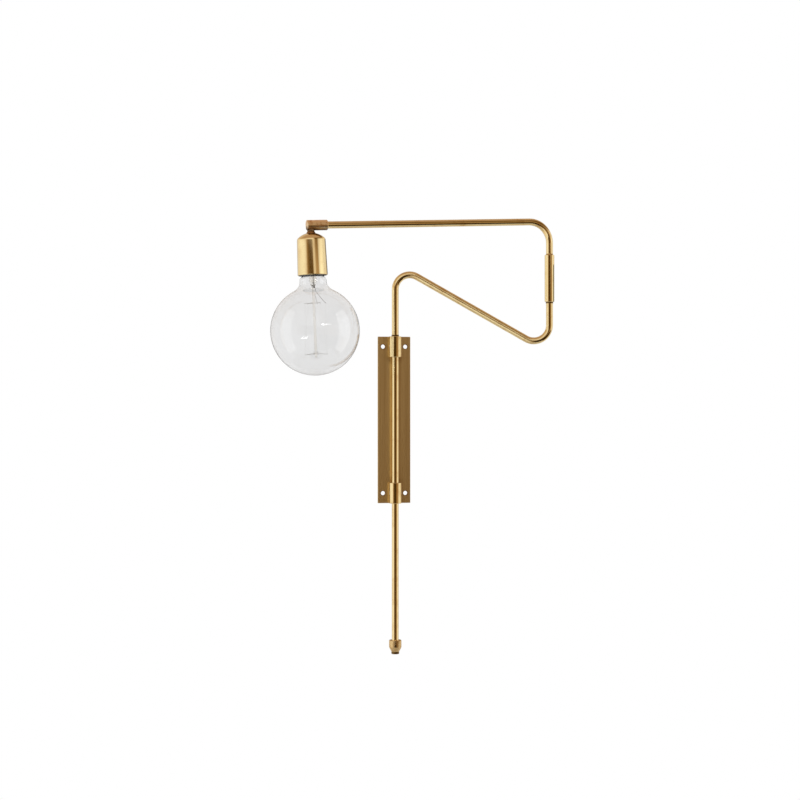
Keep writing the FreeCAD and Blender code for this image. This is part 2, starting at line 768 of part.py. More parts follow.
def lampholder():
    hole = tube_radius + fit
    neck = size["holder_cap_neck_diameter"] / 2
    bore = size["holder_cap_bore"] / 2
    outer = size["holder_cap_diameter"] / 2
    dome_end = holder_top + size["holder_cap_dome_height"]
    shoulder_end = dome_end + size["holder_cap_shoulder_height"]
    cap_end = holder_top + size["holder_cap_length"]
    roof = holder_top + size["holder_cap_roof"]
    turned_piece("holder_cap",
                 [(hole, holder_top), (size["holder_cap_top_diameter"] / 2, holder_top),
                  (outer, dome_end), (outer, shoulder_end), (neck, shoulder_end), (neck, cap_end),
                  (bore, cap_end), (bore, dome_end), (size["holder_cap_top_diameter"] / 2, roof),
                  (hole, roof)], HOLDER)
    inner = size["skirt_bore"] / 2
    side = size["skirt_diameter"] / 2
    rim = size["skirt_rim_diameter"] / 2
    chamfer = size["skirt_mouth_chamfer"]
    skirt_top = shoulder_end + gap
    skirt_end = cup_end + size["skirt_overhang"]
    rim_start = skirt_end - size["skirt_rim_height"]
    turned_piece("holder_skirt",
                 [(inner, skirt_top), (side, skirt_top), (side, rim_start), (rim, rim_start),
                  (rim, skirt_end), (inner + chamfer, skirt_end), (inner, skirt_end - chamfer)],
                 HOLDER)
    flange_start = block_end
    flange_end = flange_start + size["contact_sheet"]
    shell_end = flange_start + size["shell_length"]
    valley = size["shell_crest_diameter"] / 2 + size["thread_depth"]
    shell_side = size["shell_outer_diameter"] / 2
    thread_start = flange_end + size["thread_pitch"]
    turned_piece("screw_shell",
                 [(size["shell_flange_bore"] / 2, flange_start), (shell_side, flange_start),
                  (shell_side, shell_end), (valley, shell_end)]
                 + thread(valley, thread_start, size["thread_curve"], back=True)
                 + [(valley, thread_start), (valley, flange_end),
                    (size["shell_flange_bore"] / 2, flange_end)], HOLDER)


def terminals():
    radius = size["block_diameter"] / 2
    sheet_thickness = size["contact_sheet"]
    offset = size["terminal_offset"]
    body = new_body("terminal_block")
    turn(body, [(size["contact_rivet_diameter"] / 2 + fit, block_top), (radius, block_top),
                (radius, block_end), (size["contact_rivet_diameter"] / 2 + fit, block_end)])
    holes = new_sketch(body, "screw_holes", "XY_Plane", block_top - overrun)
    for direction in (-1, 1):
        draw_circle(holes, (offset * direction, 0), size["terminal_shank_diameter"] + fit * 2)
    pocket(body, holes, size["terminal_shank_length"] + overrun + fit, reverse=True)
    keep(body, "terminal_block", HOLDER)
    screws = []
    head_start = block_top - sheet_thickness - size["terminal_head_height"]
    shank = size["terminal_shank_length"] + sheet_thickness + size["terminal_head_height"]
    for name, direction in (("left", -1), ("right", 1)):
        place = frame(x=offset * direction, z=head_start)
        head = cylinder(f"{name}_head", size["terminal_head_diameter"] / 2,
                        size["terminal_head_height"], place)
        stud = cylinder(f"{name}_stud", size["terminal_shank_diameter"] / 2, shank, place)
        screw = doc.addObject("Part::Fuse", f"{name}_screw")
        screw.Base = head
        screw.Tool = stud
        screws.append(screw)
    group("terminal_screws", screws, HOLDER)
    strip_width = size["contact_strip_width"]
    strip_top = block_top - sheet_thickness
    hole_radius = size["terminal_shank_diameter"] / 2 + fit
    rivet = new_body("centre_rivet")
    rivet_radius = size["contact_rivet_diameter"] / 2
    spring = size["contact_spring_diameter"] / 2
    spring_tip = size["contact_spring_tip_diameter"] / 2
    tip_end = bulb_tip - gap
    turn(rivet, [(0, strip_top), (rivet_radius, strip_top), (rivet_radius, block_end),
                 (spring, block_end), (spring, block_end + sheet_thickness),
                 (spring_tip, tip_end), (0, tip_end)])
    inner_strip = box("live_strip", offset + strip_width / 2, strip_width, sheet_thickness,
                      frame(x=-offset - strip_width / 2, y=-strip_width / 2, z=strip_top))
    inner_hole = cylinder("live_hole", hole_radius, sheet_thickness + overrun * 2,
                          frame(x=-offset, z=strip_top - overrun))
    holed = doc.addObject("Part::Cut", "live_strip_holed")
    holed.Base = inner_strip
    holed.Tool = inner_hole
    contact = doc.addObject("Part::Fuse", "centre_contact")
    contact.Base = holed
    contact.Tool = rivet
    keep(contact, "centre_contact", HOLDER)
    leg_start = size["shell_outer_diameter"] / 2 + fit
    top_start = offset - strip_width / 2
    side_body = new_body("neutral_strip")
    profile = new_sketch(side_body, "profile", "XZ_Plane", -strip_width / 2)
    leg_end = leg_start + sheet_thickness
    drop_end = strip_top + size["contact_strip_drop"]
    draw(profile, [(top_start, strip_top), (leg_end, strip_top), (leg_end, drop_end),
                   (leg_start, drop_end), (leg_start, block_top), (top_start, block_top)])
    pad(side_body, profile, strip_width)
    side_hole = cylinder("neutral_hole", hole_radius, sheet_thickness + overrun * 2,
                         frame(x=offset, z=strip_top - overrun))
    side = doc.addObject("Part::Cut", "side_contact")
    side.Base = side_body
    side.Tool = side_hole
    keep(side, "side_contact", HOLDER)


# Cores of the lead, from the end of its sheath to the terminal screws

def cores():
    offset = size["core_offset"]
    bend = size["core_turn_radius"]
    start = size["lead_end"] + fit
    screw_side = size["terminal_offset"] - size["terminal_head_diameter"] / 2 - fit
    level = block_top - size["contact_sheet"] - size["terminal_head_height"] / 2
    for name, angle in (("neutral_core", 0), ("live_core", HALF_TURN)):
        body = new_body(name)
        path = new_sketch(body, "path", "XZ_Plane")
        draw(path, [(offset, start), (offset, level - bend, -bend),
                    (offset + bend, level), (screw_side, level)], closed=False)
        section = new_sketch(body, "section", "XY_Plane", start)
        draw_circle(section, (offset, 0), size["core_diameter"])
        feature = body.newObject("PartDesign::AdditivePipe", "swept")
        feature.Profile = (section, [""])
        feature.Spine = (path, ["Edge1", "Edge2", "Edge3"])
        keep(body, name, f"{HOLDER} * {frame(angle=angle)}")


# Bulb: glass globe, cap with a rolled thread, insulator, contact, stem, hooks and filament

bulb_tip = size["bulb_bottom"] - size["bulb_length"]


def bulb_glass():
    wall = size["glass_wall"]
    globe = size["globe_diameter"] / 2
    centre = size["bulb_bottom"] - globe
    neck = size["glass_neck_diameter"] / 2
    curve = size["glass_neck_curve"]
    joined = globe + curve
    neck_side = neck + curve
    rise = root(joined * joined - neck_side * neck_side)
    neck_end = centre - rise
    outer_share = globe / joined
    inner_share = (globe - wall) / joined
    outside = [(size["glass_joint_diameter"] / 2, size["glass_joint_start"]),
               (size["glass_throat_diameter"] / 2, size["glass_throat_start"]),
               (size["glass_flare_diameter"] / 2, size["glass_flare_start"])]
    inside = [(radius - wall, height) for radius, height in reversed(outside)]
    turned_piece("bulb_glass", outside
                 + [(neck, neck_end, -curve),
                    (neck_side * outer_share, centre - rise * outer_share, globe),
                    (0, size["bulb_bottom"]), (0, size["bulb_bottom"] - wall, wall - globe),
                    (neck_side * inner_share, centre - rise * inner_share, curve + wall),
                    (neck - wall, neck_end)] + inside, HOLDER)


def bulb_cap():
    sheet_thickness = size["bulb_cap_sheet"]
    valley = size["bulb_cap_valley_diameter"] / 2
    shoulder = size["bulb_cap_shoulder"]
    opening = size["bulb_cap_opening"] / 2
    start = bulb_tip + size["bulb_cap_start"]
    thread_start = start + shoulder
    thread_end = thread_start + size["thread_pitch"] * SIZES["thread_turn_count"]
    skirt = size["bulb_cap_skirt_diameter"] / 2
    skirt_end = thread_end + size["bulb_cap_skirt_length"]
    inner = valley - sheet_thickness
    turned_piece("bulb_cap_shell",
                 [(opening, start), (valley - shoulder, start)]
                 + thread(valley, thread_start, size["thread_curve"])
                 + [(valley, thread_end), (skirt, skirt_end),
                    (skirt - sheet_thickness, skirt_end), (inner, thread_end),
                    (inner, thread_start + sheet_thickness),
                    (inner - shoulder, start + sheet_thickness), (opening, start + sheet_thickness)],
                 HOLDER)
    contact = size["bulb_contact_diameter"] / 2
    contact_end = bulb_tip + size["bulb_contact_height"]
    insulator = size["bulb_insulator_diameter"] / 2
    plug = opening - fit
    plug_end = start + size["bulb_insulator_depth"]
    turned_piece("bulb_cap_insulator",
                 [(0, contact_end), (contact, contact_end), (insulator, start), (plug, start),
                  (plug, plug_end), (0, plug_end)], HOLDER)
    turned_piece("bulb_cap_contact",
                 [(0, bulb_tip), (contact - size["bulb_contact_height"], bulb_tip),
                  (contact, contact_end), (0, contact_end)], HOLDER)


def bulb_stem():
    flare = size["stem_flare_diameter"] / 2
    flare_start = size["glass_joint_start"] + size["stem_flare_offset"]
    tube = size["stem_tube_diameter"] / 2
    rod = size["stem_rod_diameter"] / 2
    press_end = size["stem_press_end"]
    rod_end = size["stem_rod_end"]
    turned_piece("bulb_stem",
                 [(0, flare_start), (flare, flare_start),
                  (flare, flare_start + size["stem_flare_height"]),
                  (tube, size["stem_tube_start"]), (tube, size["stem_press_start"]),
                  (size["stem_press_diameter"] / 2, press_end - rod), (rod, press_end),
                  (rod, rod_end - rod / 2), (rod / 2, rod_end), (0, rod_end)], HOLDER)


def filament_angle(index):
    """The direction of a lead wire or hook, counted round from the first lead wire."""
    return HALF_TURN + FULL_TURN / (SIZES["filament_fall_count"] + 1) * index


def hooks(label, place, reach, first, count):
    """Straight wires that stand out of the glass rod, a step apart round it."""
    rod = size["stem_rod_diameter"] / 2
    wires = []
    for index in range(count):
        around = frame(z=place, angle=filament_angle(first + index))
        out = frame(x=rod + fit, axis=(0, 1, 0), angle=QUARTER_TURN)
        wires.append(cylinder(f"{label}_{index + 1}", size["hook_wire_diameter"] / 2,
                              reach - rod - fit, f"{around} * {out}"))
    group(label, wires, HOLDER)


def bulb_leads():
    """Two stiff wires from the pinch along the rod and out to the two ends of the filament."""
    offset = size["bulb_lead_offset"]
    start = size["bulb_lead_start"]
    bend = size["bulb_lead_bend"]
    radius = size["bulb_lead_diameter"] / 2
    across = size["bulb_lead_reach"] - offset
    down = size["top_hook_place"] - bend
    length = root(across * across + down * down)
    slope = math.degrees(math.atan2(number(across), number(down)))
    wires = []
    for name, index in (("first", 0), ("last", SIZES["filament_fall_count"])):
        around = frame(z=start, angle=filament_angle(index))
        out = frame(x=offset, z=bend - start, axis=(0, 1, 0), angle=slope)
        wire = doc.addObject("Part::Fuse", f"{name}_wire")
        wire.Base = cylinder(f"{name}_stub", radius, bend - start, f"{around} * {frame(x=offset)}")
        wire.Tool = cylinder(f"{name}_spread", radius, length, f"{around} * {out}")
        wires.append(wire)
    group("bulb_lead_wires", wires, HOLDER)


def filament_spot(index, reach, place):
    """Where the filament turns, just past the tip of a hook or lead wire."""
    angle = math.radians(filament_angle(index))
    out = SIZES[reach] + SIZES["filament_clearance"] + SIZES["filament_diameter"] / 2
    return FreeCAD.Vector(out * math.cos(angle), out * math.sin(angle), SIZES[place])


def filament():
    """One fine wire, down and up between the hooks from one lead wire to the other."""
    thickness = SIZES["filament_diameter"] / 2
    falls = SIZES["filament_fall_count"]
    route = [filament_spot(0, "bulb_lead_reach", "top_hook_place")]
    for index in range(falls):
        route.append(filament_spot(index + 1 / 2, "bottom_hook_reach", "bottom_hook_place"))
        reach = "top_hook_reach" if index + 1 < falls else "bulb_lead_reach"
        route.append(filament_spot(index + 1, reach, "top_hook_place"))
    solids = [Part.makeSphere(thickness, spot) for spot in route[1:-1]]
    for start, stop in zip(route, route[1:]):
        solids.append(Part.makeCylinder(thickness, (stop - start).Length, start, stop - start))
    item = doc.addObject("Part::Feature", "filament")
    item.Shape = solids[0].fuse(solids[1:])
    keep(item, "filament", HOLDER)


wall_plate()
wall_sleeve("upper", plate_top - size["sleeve_length"])
wall_sleeve("lower", -plate_top)
lower_arm()
stop_ring("wall_stop_ring", 0, plate_top + gap)
stop_ring("elbow_stop_ring", size["lower_arm_reach"],
          elbow_height - gap - size["stop_ring_height"])
cord_grip()
elbow()
upper_arm()
end_fitting()
lampholder_cup()
nipple_locknut()
lampholder()
terminals()
cores()
bulb_glass()
bulb_cap()
bulb_stem()
hooks("filament_top_hooks", size["top_hook_place"], size["top_hook_reach"],
      1, SIZES["filament_fall_count"] - 1)
hooks("filament_bottom_hooks", size["bottom_hook_place"], size["bottom_hook_reach"],
      1 / 2, SIZES["filament_fall_count"])
bulb_leads()
filament()
doc.recompute()

# Nothing is written unless every object worked

for item in doc.Objects:
    if "Invalid" in item.State or "Error" in item.State:
        raise RuntimeError(f"{item.Name} failed: {item.State}")
for body, feature in cuts:
    if feature.Shape.Volume >= feature.BaseFeature.Shape.Volume:
        raise RuntimeError(f"a cut in {body.Label} takes nothing away")
for label, item in pieces.items():
    if item.Shape.isNull() or not item.Shape.isValid() or not item.Shape.Solids:
        raise RuntimeError(f"{label} has no valid solid")

for name in ("lower_arm_lead", "upper_arm_lead"):
    spine = next(item for item in pieces[name].Group if item.Name.startswith("path"))
    section = math.pi * (SIZES["lead_diameter"] / 2) ** 2
    print(name, "volume over section times length:",
          round(pieces[name].Shape.Volume / (section * spine.Shape.Length), 4))

os.makedirs("parts", exist_ok=True)
for label, item in pieces.items():
    item.Shape.exportStep(f"parts/{label}.step")
print(len(pieces), "pieces written")
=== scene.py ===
import logging
import math
from collections.abc import Callable, Iterable, Sequence
from dataclasses import dataclass
from enum import Enum

import bpy
from mathutils import Matrix, Vector


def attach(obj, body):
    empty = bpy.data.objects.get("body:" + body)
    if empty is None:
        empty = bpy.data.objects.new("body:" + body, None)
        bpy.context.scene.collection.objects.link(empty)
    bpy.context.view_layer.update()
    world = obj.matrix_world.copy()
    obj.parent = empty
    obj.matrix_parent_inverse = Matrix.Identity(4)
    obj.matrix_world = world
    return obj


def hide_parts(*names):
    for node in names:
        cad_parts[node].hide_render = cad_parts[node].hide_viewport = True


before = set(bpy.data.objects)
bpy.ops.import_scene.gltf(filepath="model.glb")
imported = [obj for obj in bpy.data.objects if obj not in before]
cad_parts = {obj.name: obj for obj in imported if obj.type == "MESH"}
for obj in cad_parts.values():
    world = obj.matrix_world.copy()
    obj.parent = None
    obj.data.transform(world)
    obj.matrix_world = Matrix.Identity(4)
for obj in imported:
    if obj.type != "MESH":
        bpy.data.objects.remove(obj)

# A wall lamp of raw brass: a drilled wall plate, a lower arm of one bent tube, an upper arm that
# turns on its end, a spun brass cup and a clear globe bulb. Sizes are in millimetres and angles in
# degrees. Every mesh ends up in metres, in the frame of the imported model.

LOG = logging.getLogger("wall_lamp")
MM = 0.001
FULL_TURN = 2 * math.pi
# Points nearer than this, in metres, are one point.
WELD = 1e-6
# Faces that meet at less than this angle shade as one round surface.
SMOOTH_BELOW = math.radians(32)
# A face looks along an axis where its normal's part along it is more than this.
FACING = 0.5
# How many flats the round of a small screw is cut into.
SCREW_FLATS = 48
# A bent wire's curve: its order, its steps from point to point, and how round its section is.
WIRE_ORDER = 3
WIRE_STEPS = 4
WIRE_ROUNDNESS = 2

Point = tuple[float, float]
Outline = Sequence[Point]
Colour = tuple[float, float, float, float]
Piece = bpy.types.Object
Material = bpy.types.Material
Tree = bpy.types.NodeTree
Node = bpy.types.Node
Socket = bpy.types.NodeSocket


# Colours and shader nodes

def linear(code: str) -> Colour:
    """Turns an sRGB colour into the linear one that a shader takes.

    Args:
        code: The colour as six hex digits after a hash.

    Returns:
        Linear red, green, blue and an alpha of one.
    """
    parts = [int(code[place:place + 2], 16) / 255 for place in (1, 3, 5)]
    red, green, blue = [part / 12.92 if part <= 0.04045 else ((part + 0.055) / 1.055) ** 2.4
                        for part in parts]
    return red, green, blue, 1.0


def per(size_mm: float) -> float:
    """Gives the texture scale at which a pattern's features are a size in millimetres."""
    return 1 / (size_mm * MM)


def add_node(tree: Tree, kind: str, inputs: dict | None = None, **settings: object) -> Node:
    """Adds a node to a tree, with its settings, values and links.

    Args:
        tree: The tree that the node goes into.
        kind: The node's type name.
        inputs: A value, or another node's output, for each named or numbered input.
        **settings: Properties of the node itself.

    Returns:
        The new node.
    """
    node = tree.nodes.new(kind)
    for name, value in settings.items():
        setattr(node, name, value)
    for key, value in (inputs or {}).items():
        if isinstance(value, Socket):
            tree.links.new(value, node.inputs[key])
        else:
            node.inputs[key].default_value = value
    return node


def set_stops(node: Node, stops: Sequence[tuple[float, Colour]]) -> None:
    """Gives a colour ramp its stops.

    Args:
        node: The colour ramp node.
        stops: The place from 0 to 1 and the colour of each stop, in order.
    """
    elements = node.color_ramp.elements
    elements[0].position, elements[0].color = stops[0]
    elements[-1].position, elements[-1].color = stops[-1]
    for place, colour in stops[1:-1]:
        elements.new(place).color = colour


def seen_straight(tree: Tree) -> Socket:
    """Adds the test for what the camera sees, either straight or through the glass.

    Args:
        tree: The tree that the test goes into.

    Returns:
        One for such a ray, and zero for any other.
    """
    light = add_node(tree, "ShaderNodeLightPath")
    return add_node(tree, "ShaderNodeMath", {0: light.outputs["Is Camera Ray"],
                                             1: light.outputs["Is Transmission Ray"]},
                    operation="MAXIMUM").outputs[0]


# Finishes

class Grain(Enum):
    """Which way the fine lines of a worked surface run: the scales stretch a noise along them."""

    UPRIGHT = (1.0, 1.0, 0.02)
    ROUND_UPRIGHT = (0.02, 0.02, 1.0)
    LEVEL = (0.02, 1.0, 1.0)
    ROUND_LEVEL = (1.0, 0.02, 0.02)


@dataclass(frozen=True)
class MarkAndShade:
    """A soft place that fades out round its middle: where heat, flux and hands have browned or
    rubbed the brass, and also where shade is painted into it.
    """

    middle: tuple[float, float, float]
    core: float
    reach: float
    strength: float = 1.0


@dataclass(frozen=True)
class Finish:
    """What every finish has: a name and a way to make its material."""

    name: str

    def start(self) -> tuple[Material, Tree, Node, Socket]:
        """Makes an empty material with a principled shader.

        Returns:
            The material, its node tree, the shader and the place on the object.
        """
        material = bpy.data.materials.new(self.name)
        material.use_nodes = True
        tree = material.node_tree
        tree.nodes.clear()
        shader = add_node(tree, "ShaderNodeBsdfPrincipled")
        add_node(tree, "ShaderNodeOutputMaterial", {"Surface": shader.outputs["BSDF"]})
        place = add_node(tree, "ShaderNodeTexCoord").outputs["Object"]
        return material, tree, shader, place


@dataclass(frozen=True)
class Brass(Finish):
    """Raw brass without lacquer: a warm mirror under a thin film that browns it in soft patches.

    The film is thickest where hands and solder have been, and the same browning paints shade into
    some places, so colour and gloss change together there.
    """

    colour: str = "#FAE2AA"
    film: str = "#D9B070"
    brown: str = "#8A5A2A"
    film_low: float = 0.5
    film_high: float = 0.8
    film_size: float = 18.0
    film_detail: float = 5.0
    film_breakup: float = 0.6
    roughness: float = 0.09
    film_roughness: float = 0.18
    grain: Grain = Grain.ROUND_UPRIGHT
    grain_size: float = 1.6
    grain_detail: float = 2.0
    grain_depth: float = 0.0012
    streaked: bool = False
    speck_size: float = 2.5
    speck_edge: Point = (0.7, 0.9)
    speck_strength: float = 0.5
    marks_and_shade: tuple[MarkAndShade, ...] = ()
    rubbed: tuple[MarkAndShade, ...] = ()
    rubbed_roughness: float = 0.27

    def specks(self, tree: Tree, place: Socket) -> Socket:
        """Adds the few small brown specks that raw brass gets by itself.

        Args:
            tree: The material's tree.
            place: The place on the object.

        Returns:
            How far a place is browned, from 0 to 1.
        """
        noise = add_node(tree, "ShaderNodeTexNoise",
                         {"Vector": place, "Scale": per(self.speck_size)})
        share = add_node(tree, "ShaderNodeMapRange", {"Value": noise.outputs["Fac"],
                                                      "From Min": self.speck_edge[0],
                                                      "From Max": self.speck_edge[1],
                                                      "To Max": self.speck_strength})
        return share.outputs["Result"]

    def spots(self, tree: Tree, place: Socket, marks_and_shade: tuple[MarkAndShade, ...],
              share: Socket | float) -> Socket | float:
        """Adds places with soft edges to a share.

        Args:
            tree: The material's tree.
            place: The place on the object.
            marks_and_shade: The places.
            share: The share before.

        Returns:
            The greater of the share and each place's own.
        """
        for soft_spot in marks_and_shade:
            middle = tuple(part * MM for part in soft_spot.middle)
            away = add_node(tree, "ShaderNodeVectorMath", {0: place, 1: middle},
                            operation="DISTANCE")
            one = add_node(tree, "ShaderNodeMapRange", {"Value": away.outputs["Value"],
                                                        "From Min": soft_spot.core * MM,
                                                        "From Max": soft_spot.reach * MM,
                                                        "To Min": soft_spot.strength, "To Max": 0.0},
                           interpolation_type="SMOOTHSTEP")
            share = add_node(tree, "ShaderNodeMath", {0: share, 1: one.outputs["Result"]},
                             operation="MAXIMUM").outputs[0]
        return share

    def material(self) -> Material:
        """Makes the material.

        Returns:
            The finished material.
        """
        material, tree, shader, place = self.start()
        along = add_node(tree, "ShaderNodeMapping",
                         {"Vector": place, "Scale": self.grain.value}).outputs["Vector"]
        film = add_node(tree, "ShaderNodeTexNoise", {"Vector": along if self.streaked else place,
                                                     "Scale": per(self.film_size),
                                                     "Detail": self.film_detail,
                                                     "Roughness": self.film_breakup})
        share = add_node(tree, "ShaderNodeMapRange",
                         {"Value": film.outputs["Fac"], "From Min": self.film_low,
                          "From Max": self.film_high}).outputs["Result"]
        tint = add_node(tree, "ShaderNodeMix", {"Factor": share, "A": linear(self.colour),
                                                "B": linear(self.film)}, data_type="RGBA")
        # The spots brown the brass where it is stained, and also paint shade: in the plate's
        # holes, beside its sleeves, under the end fitting and partly at the cup's neck.
        browning_and_shade = self.spots(tree, place, self.marks_and_shade, self.specks(tree, place))
        browned = add_node(tree, "ShaderNodeMix", {"Factor": browning_and_shade, "A": tint.outputs[2],
                                                   "B": linear(self.brown)}, data_type="RGBA")
        tree.links.new(browned.outputs[2], shader.inputs["Base Color"])
        both = add_node(tree, "ShaderNodeMath", {0: share, 1: browning_and_shade}, operation="MAXIMUM")
        dull = add_node(tree, "ShaderNodeMapRange", {"Value": both.outputs[0],
                                                     "To Min": self.roughness,
                                                     "To Max": self.film_roughness})
        gloss = dull.outputs["Result"]
        if self.rubbed:
            handled = self.spots(tree, place, self.rubbed, 0.0)
            gloss = add_node(tree, "ShaderNodeMix", {"Factor": handled, "A": gloss,
                                                     "B": self.rubbed_roughness}).outputs[0]
        tree.links.new(gloss, shader.inputs["Roughness"])
        lines = add_node(tree, "ShaderNodeTexNoise",
                         {"Vector": along, "Scale": per(self.grain_size),
                          "Detail": self.grain_detail})
        bump = add_node(tree, "ShaderNodeBump", {"Height": lines.outputs["Fac"],
                                                 "Distance": self.grain_depth * MM})
        tree.links.new(bump.outputs["Normal"], shader.inputs["Normal"])
        shader.inputs["Metallic"].default_value = 1.0
        return material


@dataclass(frozen=True)
class Clouded(Finish):
    """A finish of two near colours, with soft clouds of the second in the first."""

    colour: str = "#B9B4A8"
    shade: str = "#8F8A80"
    cloud_size: float = 1.5
    cloud_detail: float = 4.0

    def clouds(self, tree: Tree, shader: Node, place: Socket) -> Socket:
        """Colours the material in clouds.

        Args:
            tree: The material's tree.
            shader: Its shader.
            place: The place on the object.

        Returns:
            How much of the second colour there is at a place, from 0 to 1.
        """
        share = add_node(tree, "ShaderNodeTexNoise",
                         {"Vector": place, "Scale": per(self.cloud_size),
                          "Detail": self.cloud_detail}).outputs["Fac"]
        tint = add_node(tree, "ShaderNodeMix", {"Factor": share, "A": linear(self.colour),
                                                "B": linear(self.shade)}, data_type="RGBA")
        tree.links.new(tint.outputs[2], shader.inputs["Base Color"])
        return share


@dataclass(frozen=True)
class Metal(Clouded):
    """A plain metal: turned, plated or blackened, with fine mottling in its gloss."""

    roughness: float = 0.3
    gloss_range: Point = (0.8, 1.25)

    def material(self) -> Material:
        """Makes the material.

        Returns:
            The finished material.
        """
        material, tree, shader, place = self.start()
        dull = add_node(tree, "ShaderNodeMapRange",
                        {"Value": self.clouds(tree, shader, place),
                         "To Min": self.roughness * self.gloss_range[0],
                         "To Max": self.roughness * self.gloss_range[1]})
        tree.links.new(dull.outputs["Result"], shader.inputs["Roughness"])
        shader.inputs["Metallic"].default_value = 1.0
        return material


@dataclass(frozen=True)
class Moulding(Clouded):
    """A moulded or extruded plastic, or fired porcelain: even colour with a fine skin texture."""

    colour: str = "#161412"
    shade: str = "#0C0B0A"
    cloud_size: float = 0.8
    roughness: float = 0.35
    skin_depth: float = 0.01

    def material(self) -> Material:
        """Makes the material.

        Returns:
            The finished material.
        """
        material, tree, shader, place = self.start()
        bump = add_node(tree, "ShaderNodeBump", {"Height": self.clouds(tree, shader, place),
                                                 "Distance": self.skin_depth * MM})
        tree.links.new(bump.outputs["Normal"], shader.inputs["Normal"])
        shader.inputs["Roughness"].default_value = self.roughness
        return material


@dataclass(frozen=True)
class Glass(Finish):
    """Blown soda-lime glass: clear, with long soft waves in its surface that bend reflections."""

    colour: str = "#F7F8F8"
    refraction: float = 1.52
    wave_size: float = 30.0
    wave_detail: float = 1.0
    wave_depth: float = 0.05

    def material(self) -> Material:
        """Makes the material.

        Returns:
            The finished material.
        """
        material, tree, shader, place = self.start()
        waves = add_node(tree, "ShaderNodeTexNoise",
                         {"Vector": place, "Scale": per(self.wave_size),
                          "Detail": self.wave_detail})
        bump = add_node(tree, "ShaderNodeBump", {"Height": waves.outputs["Fac"],
                                                 "Distance": self.wave_depth * MM})
        tree.links.new(bump.outputs["Normal"], shader.inputs["Normal"])
        shader.inputs["Base Color"].default_value = linear(self.colour)
        shader.inputs["Roughness"].default_value = 0.0
        shader.inputs["IOR"].default_value = self.refraction
        shader.inputs["Transmission Weight"].default_value = 1.0
        return material


# A dark ring round each screw hole of the plate: painted shade for the shadowed inside of the
# hole.
HOLE_SHADE = tuple(MarkAndShade((16.5 * right, -2.5, 106.5 * up), 3.3, 4.6, 0.85)
                    for right in (-1, 1) for up in (-1, 1))
# A faint darkening of the plate round each sleeve: painted shade that the sleeves cast on the
# plate beside them.
SLEEVE_SHADE = tuple(MarkAndShade((0.0, -2.0, height), 8.0, 17.0, 0.3)
                     for height in (-118.0, -106.0, -94.0, 94.0, 106.0, 118.0))
# A deep brown darkening all along the underside of the end fitting: painted shade.
UNDERSIDE_SHADE = tuple(MarkAndShade((-132.4 + 4.0 * step, -73.5 + 0.35 * step, 265.2 + 0.17 * step),
                               4.0, 9.5, 0.9) for step in range(-1, 7))
# The brown at the top of the cup, round its neck: partly browning from the brazing heat and partly
# painted shade under the end fitting.
NECK_BROWNING_AND_SHADE = MarkAndShade((-132.3, -73.5, 264.0), 5.0, 14.0, 0.9)
# Six overlapping places down the slope of the lower arm, where hands have rubbed it satin.
HAND_MARKS = tuple(MarkAndShade((40.0 + 28.0 * step, -16.7 - 3.9 * step, 203.3 - 16.1 * step), 14.0, 30.0)
                   for step in range(6))

# Raw brass tube, drawn through a die and never lacquered: bright and mirror-like, with faint lines
# along it, a thin brown film in patches, and satin where hands take hold of the slope.
DRAWN_BRASS = Brass("drawn_brass_tube", grain=Grain.UPRIGHT, rubbed=HAND_MARKS)
# The same drawn tube for the long arm: its faint lines run level.
ARM_BRASS = Brass("drawn_brass_arm", grain=Grain.LEVEL)
# Raw brass turned on a lathe and left bright: fine rings round it under the same thin film.
TURNED_BRASS = Brass("turned_brass")
# Turned brass dulled by fingers where the cord is fitted: softer, browner reflections in small
# patches.
DULL_BRASS = Brass("dulled_turned_brass", colour="#E3C48D", film="#C79F66", film_low=0.45,
                   film_high=0.7, film_size=6.0, roughness=0.24, film_roughness=0.36)
# Brass sheet spun over a form and polished: a wide bright mirror, brown where it meets the neck,
# partly from brazing heat and partly as painted shade.
SPUN_BRASS = Brass("spun_brass", film="#EBCB92", film_size=30.0, marks_and_shade=(NECK_BROWNING_AND_SHADE,))
# Rolled brass sheet, brushed along and left to tarnish: a dull olive brown without clear
# reflections, in long upright streaks, with painted shade darkening it round the screw holes and
# beside the brazed sleeves.
SHEET_BRASS = Brass("rolled_brass_sheet", colour="#E6C990", film="#CFAE76", film_low=0.4,
                    film_high=0.65, film_size=6.0, roughness=0.32, film_roughness=0.42,
                    grain=Grain.UPRIGHT, grain_depth=0.01, streaked=True,
                    marks_and_shade=HOLE_SHADE + SLEEVE_SHADE)
# Brass turned from bar and browned by heat: matt turning rings and a coppery brown, with painted
# shade making it deepest below.
BROWNED_BRASS = Brass("browned_brass", colour="#FFE0B0", film="#DFAE76", brown="#553719",
                      film_low=0.45, film_high=0.65, film_size=5.0, roughness=0.3,
                      film_roughness=0.45, grain=Grain.ROUND_LEVEL, grain_depth=0.01,
                      marks_and_shade=UNDERSIDE_SHADE)
# A matt brown-black brass that hardly reflects: on the stop rings it is painted shade for the
# shadowed gap at each sleeve's end, and the cord grip's ferrule takes it too.
DARK_BRASS = Brass("dark_brass_and_gap_shade", colour="#7A5F38", film="#5C4426", film_size=3.0,
                   roughness=0.35, film_roughness=0.5)
# Silver braze, melted round the joint and left as it set: a pale, uneven bead with burnt flux.
BRAZE = Brass("silver_braze", colour="#E9D6A6", film="#B98F55", film_low=0.35, film_high=0.65,
              film_size=2.5, roughness=0.28, film_roughness=0.42, grain=Grain.UPRIGHT)
# Steel blackened in hot oil, as set screws come: near black, with a soft greasy sheen.
BLACKENED_STEEL = Metal("blackened_steel", colour="#2E2922", shade="#1B1713", roughness=0.42)
# Steel screw browned with the brass round it: a dull brown between rust and bronze.
BROWNED_STEEL = Metal("browned_steel", colour="#8A6C45", shade="#5E4629", roughness=0.38)
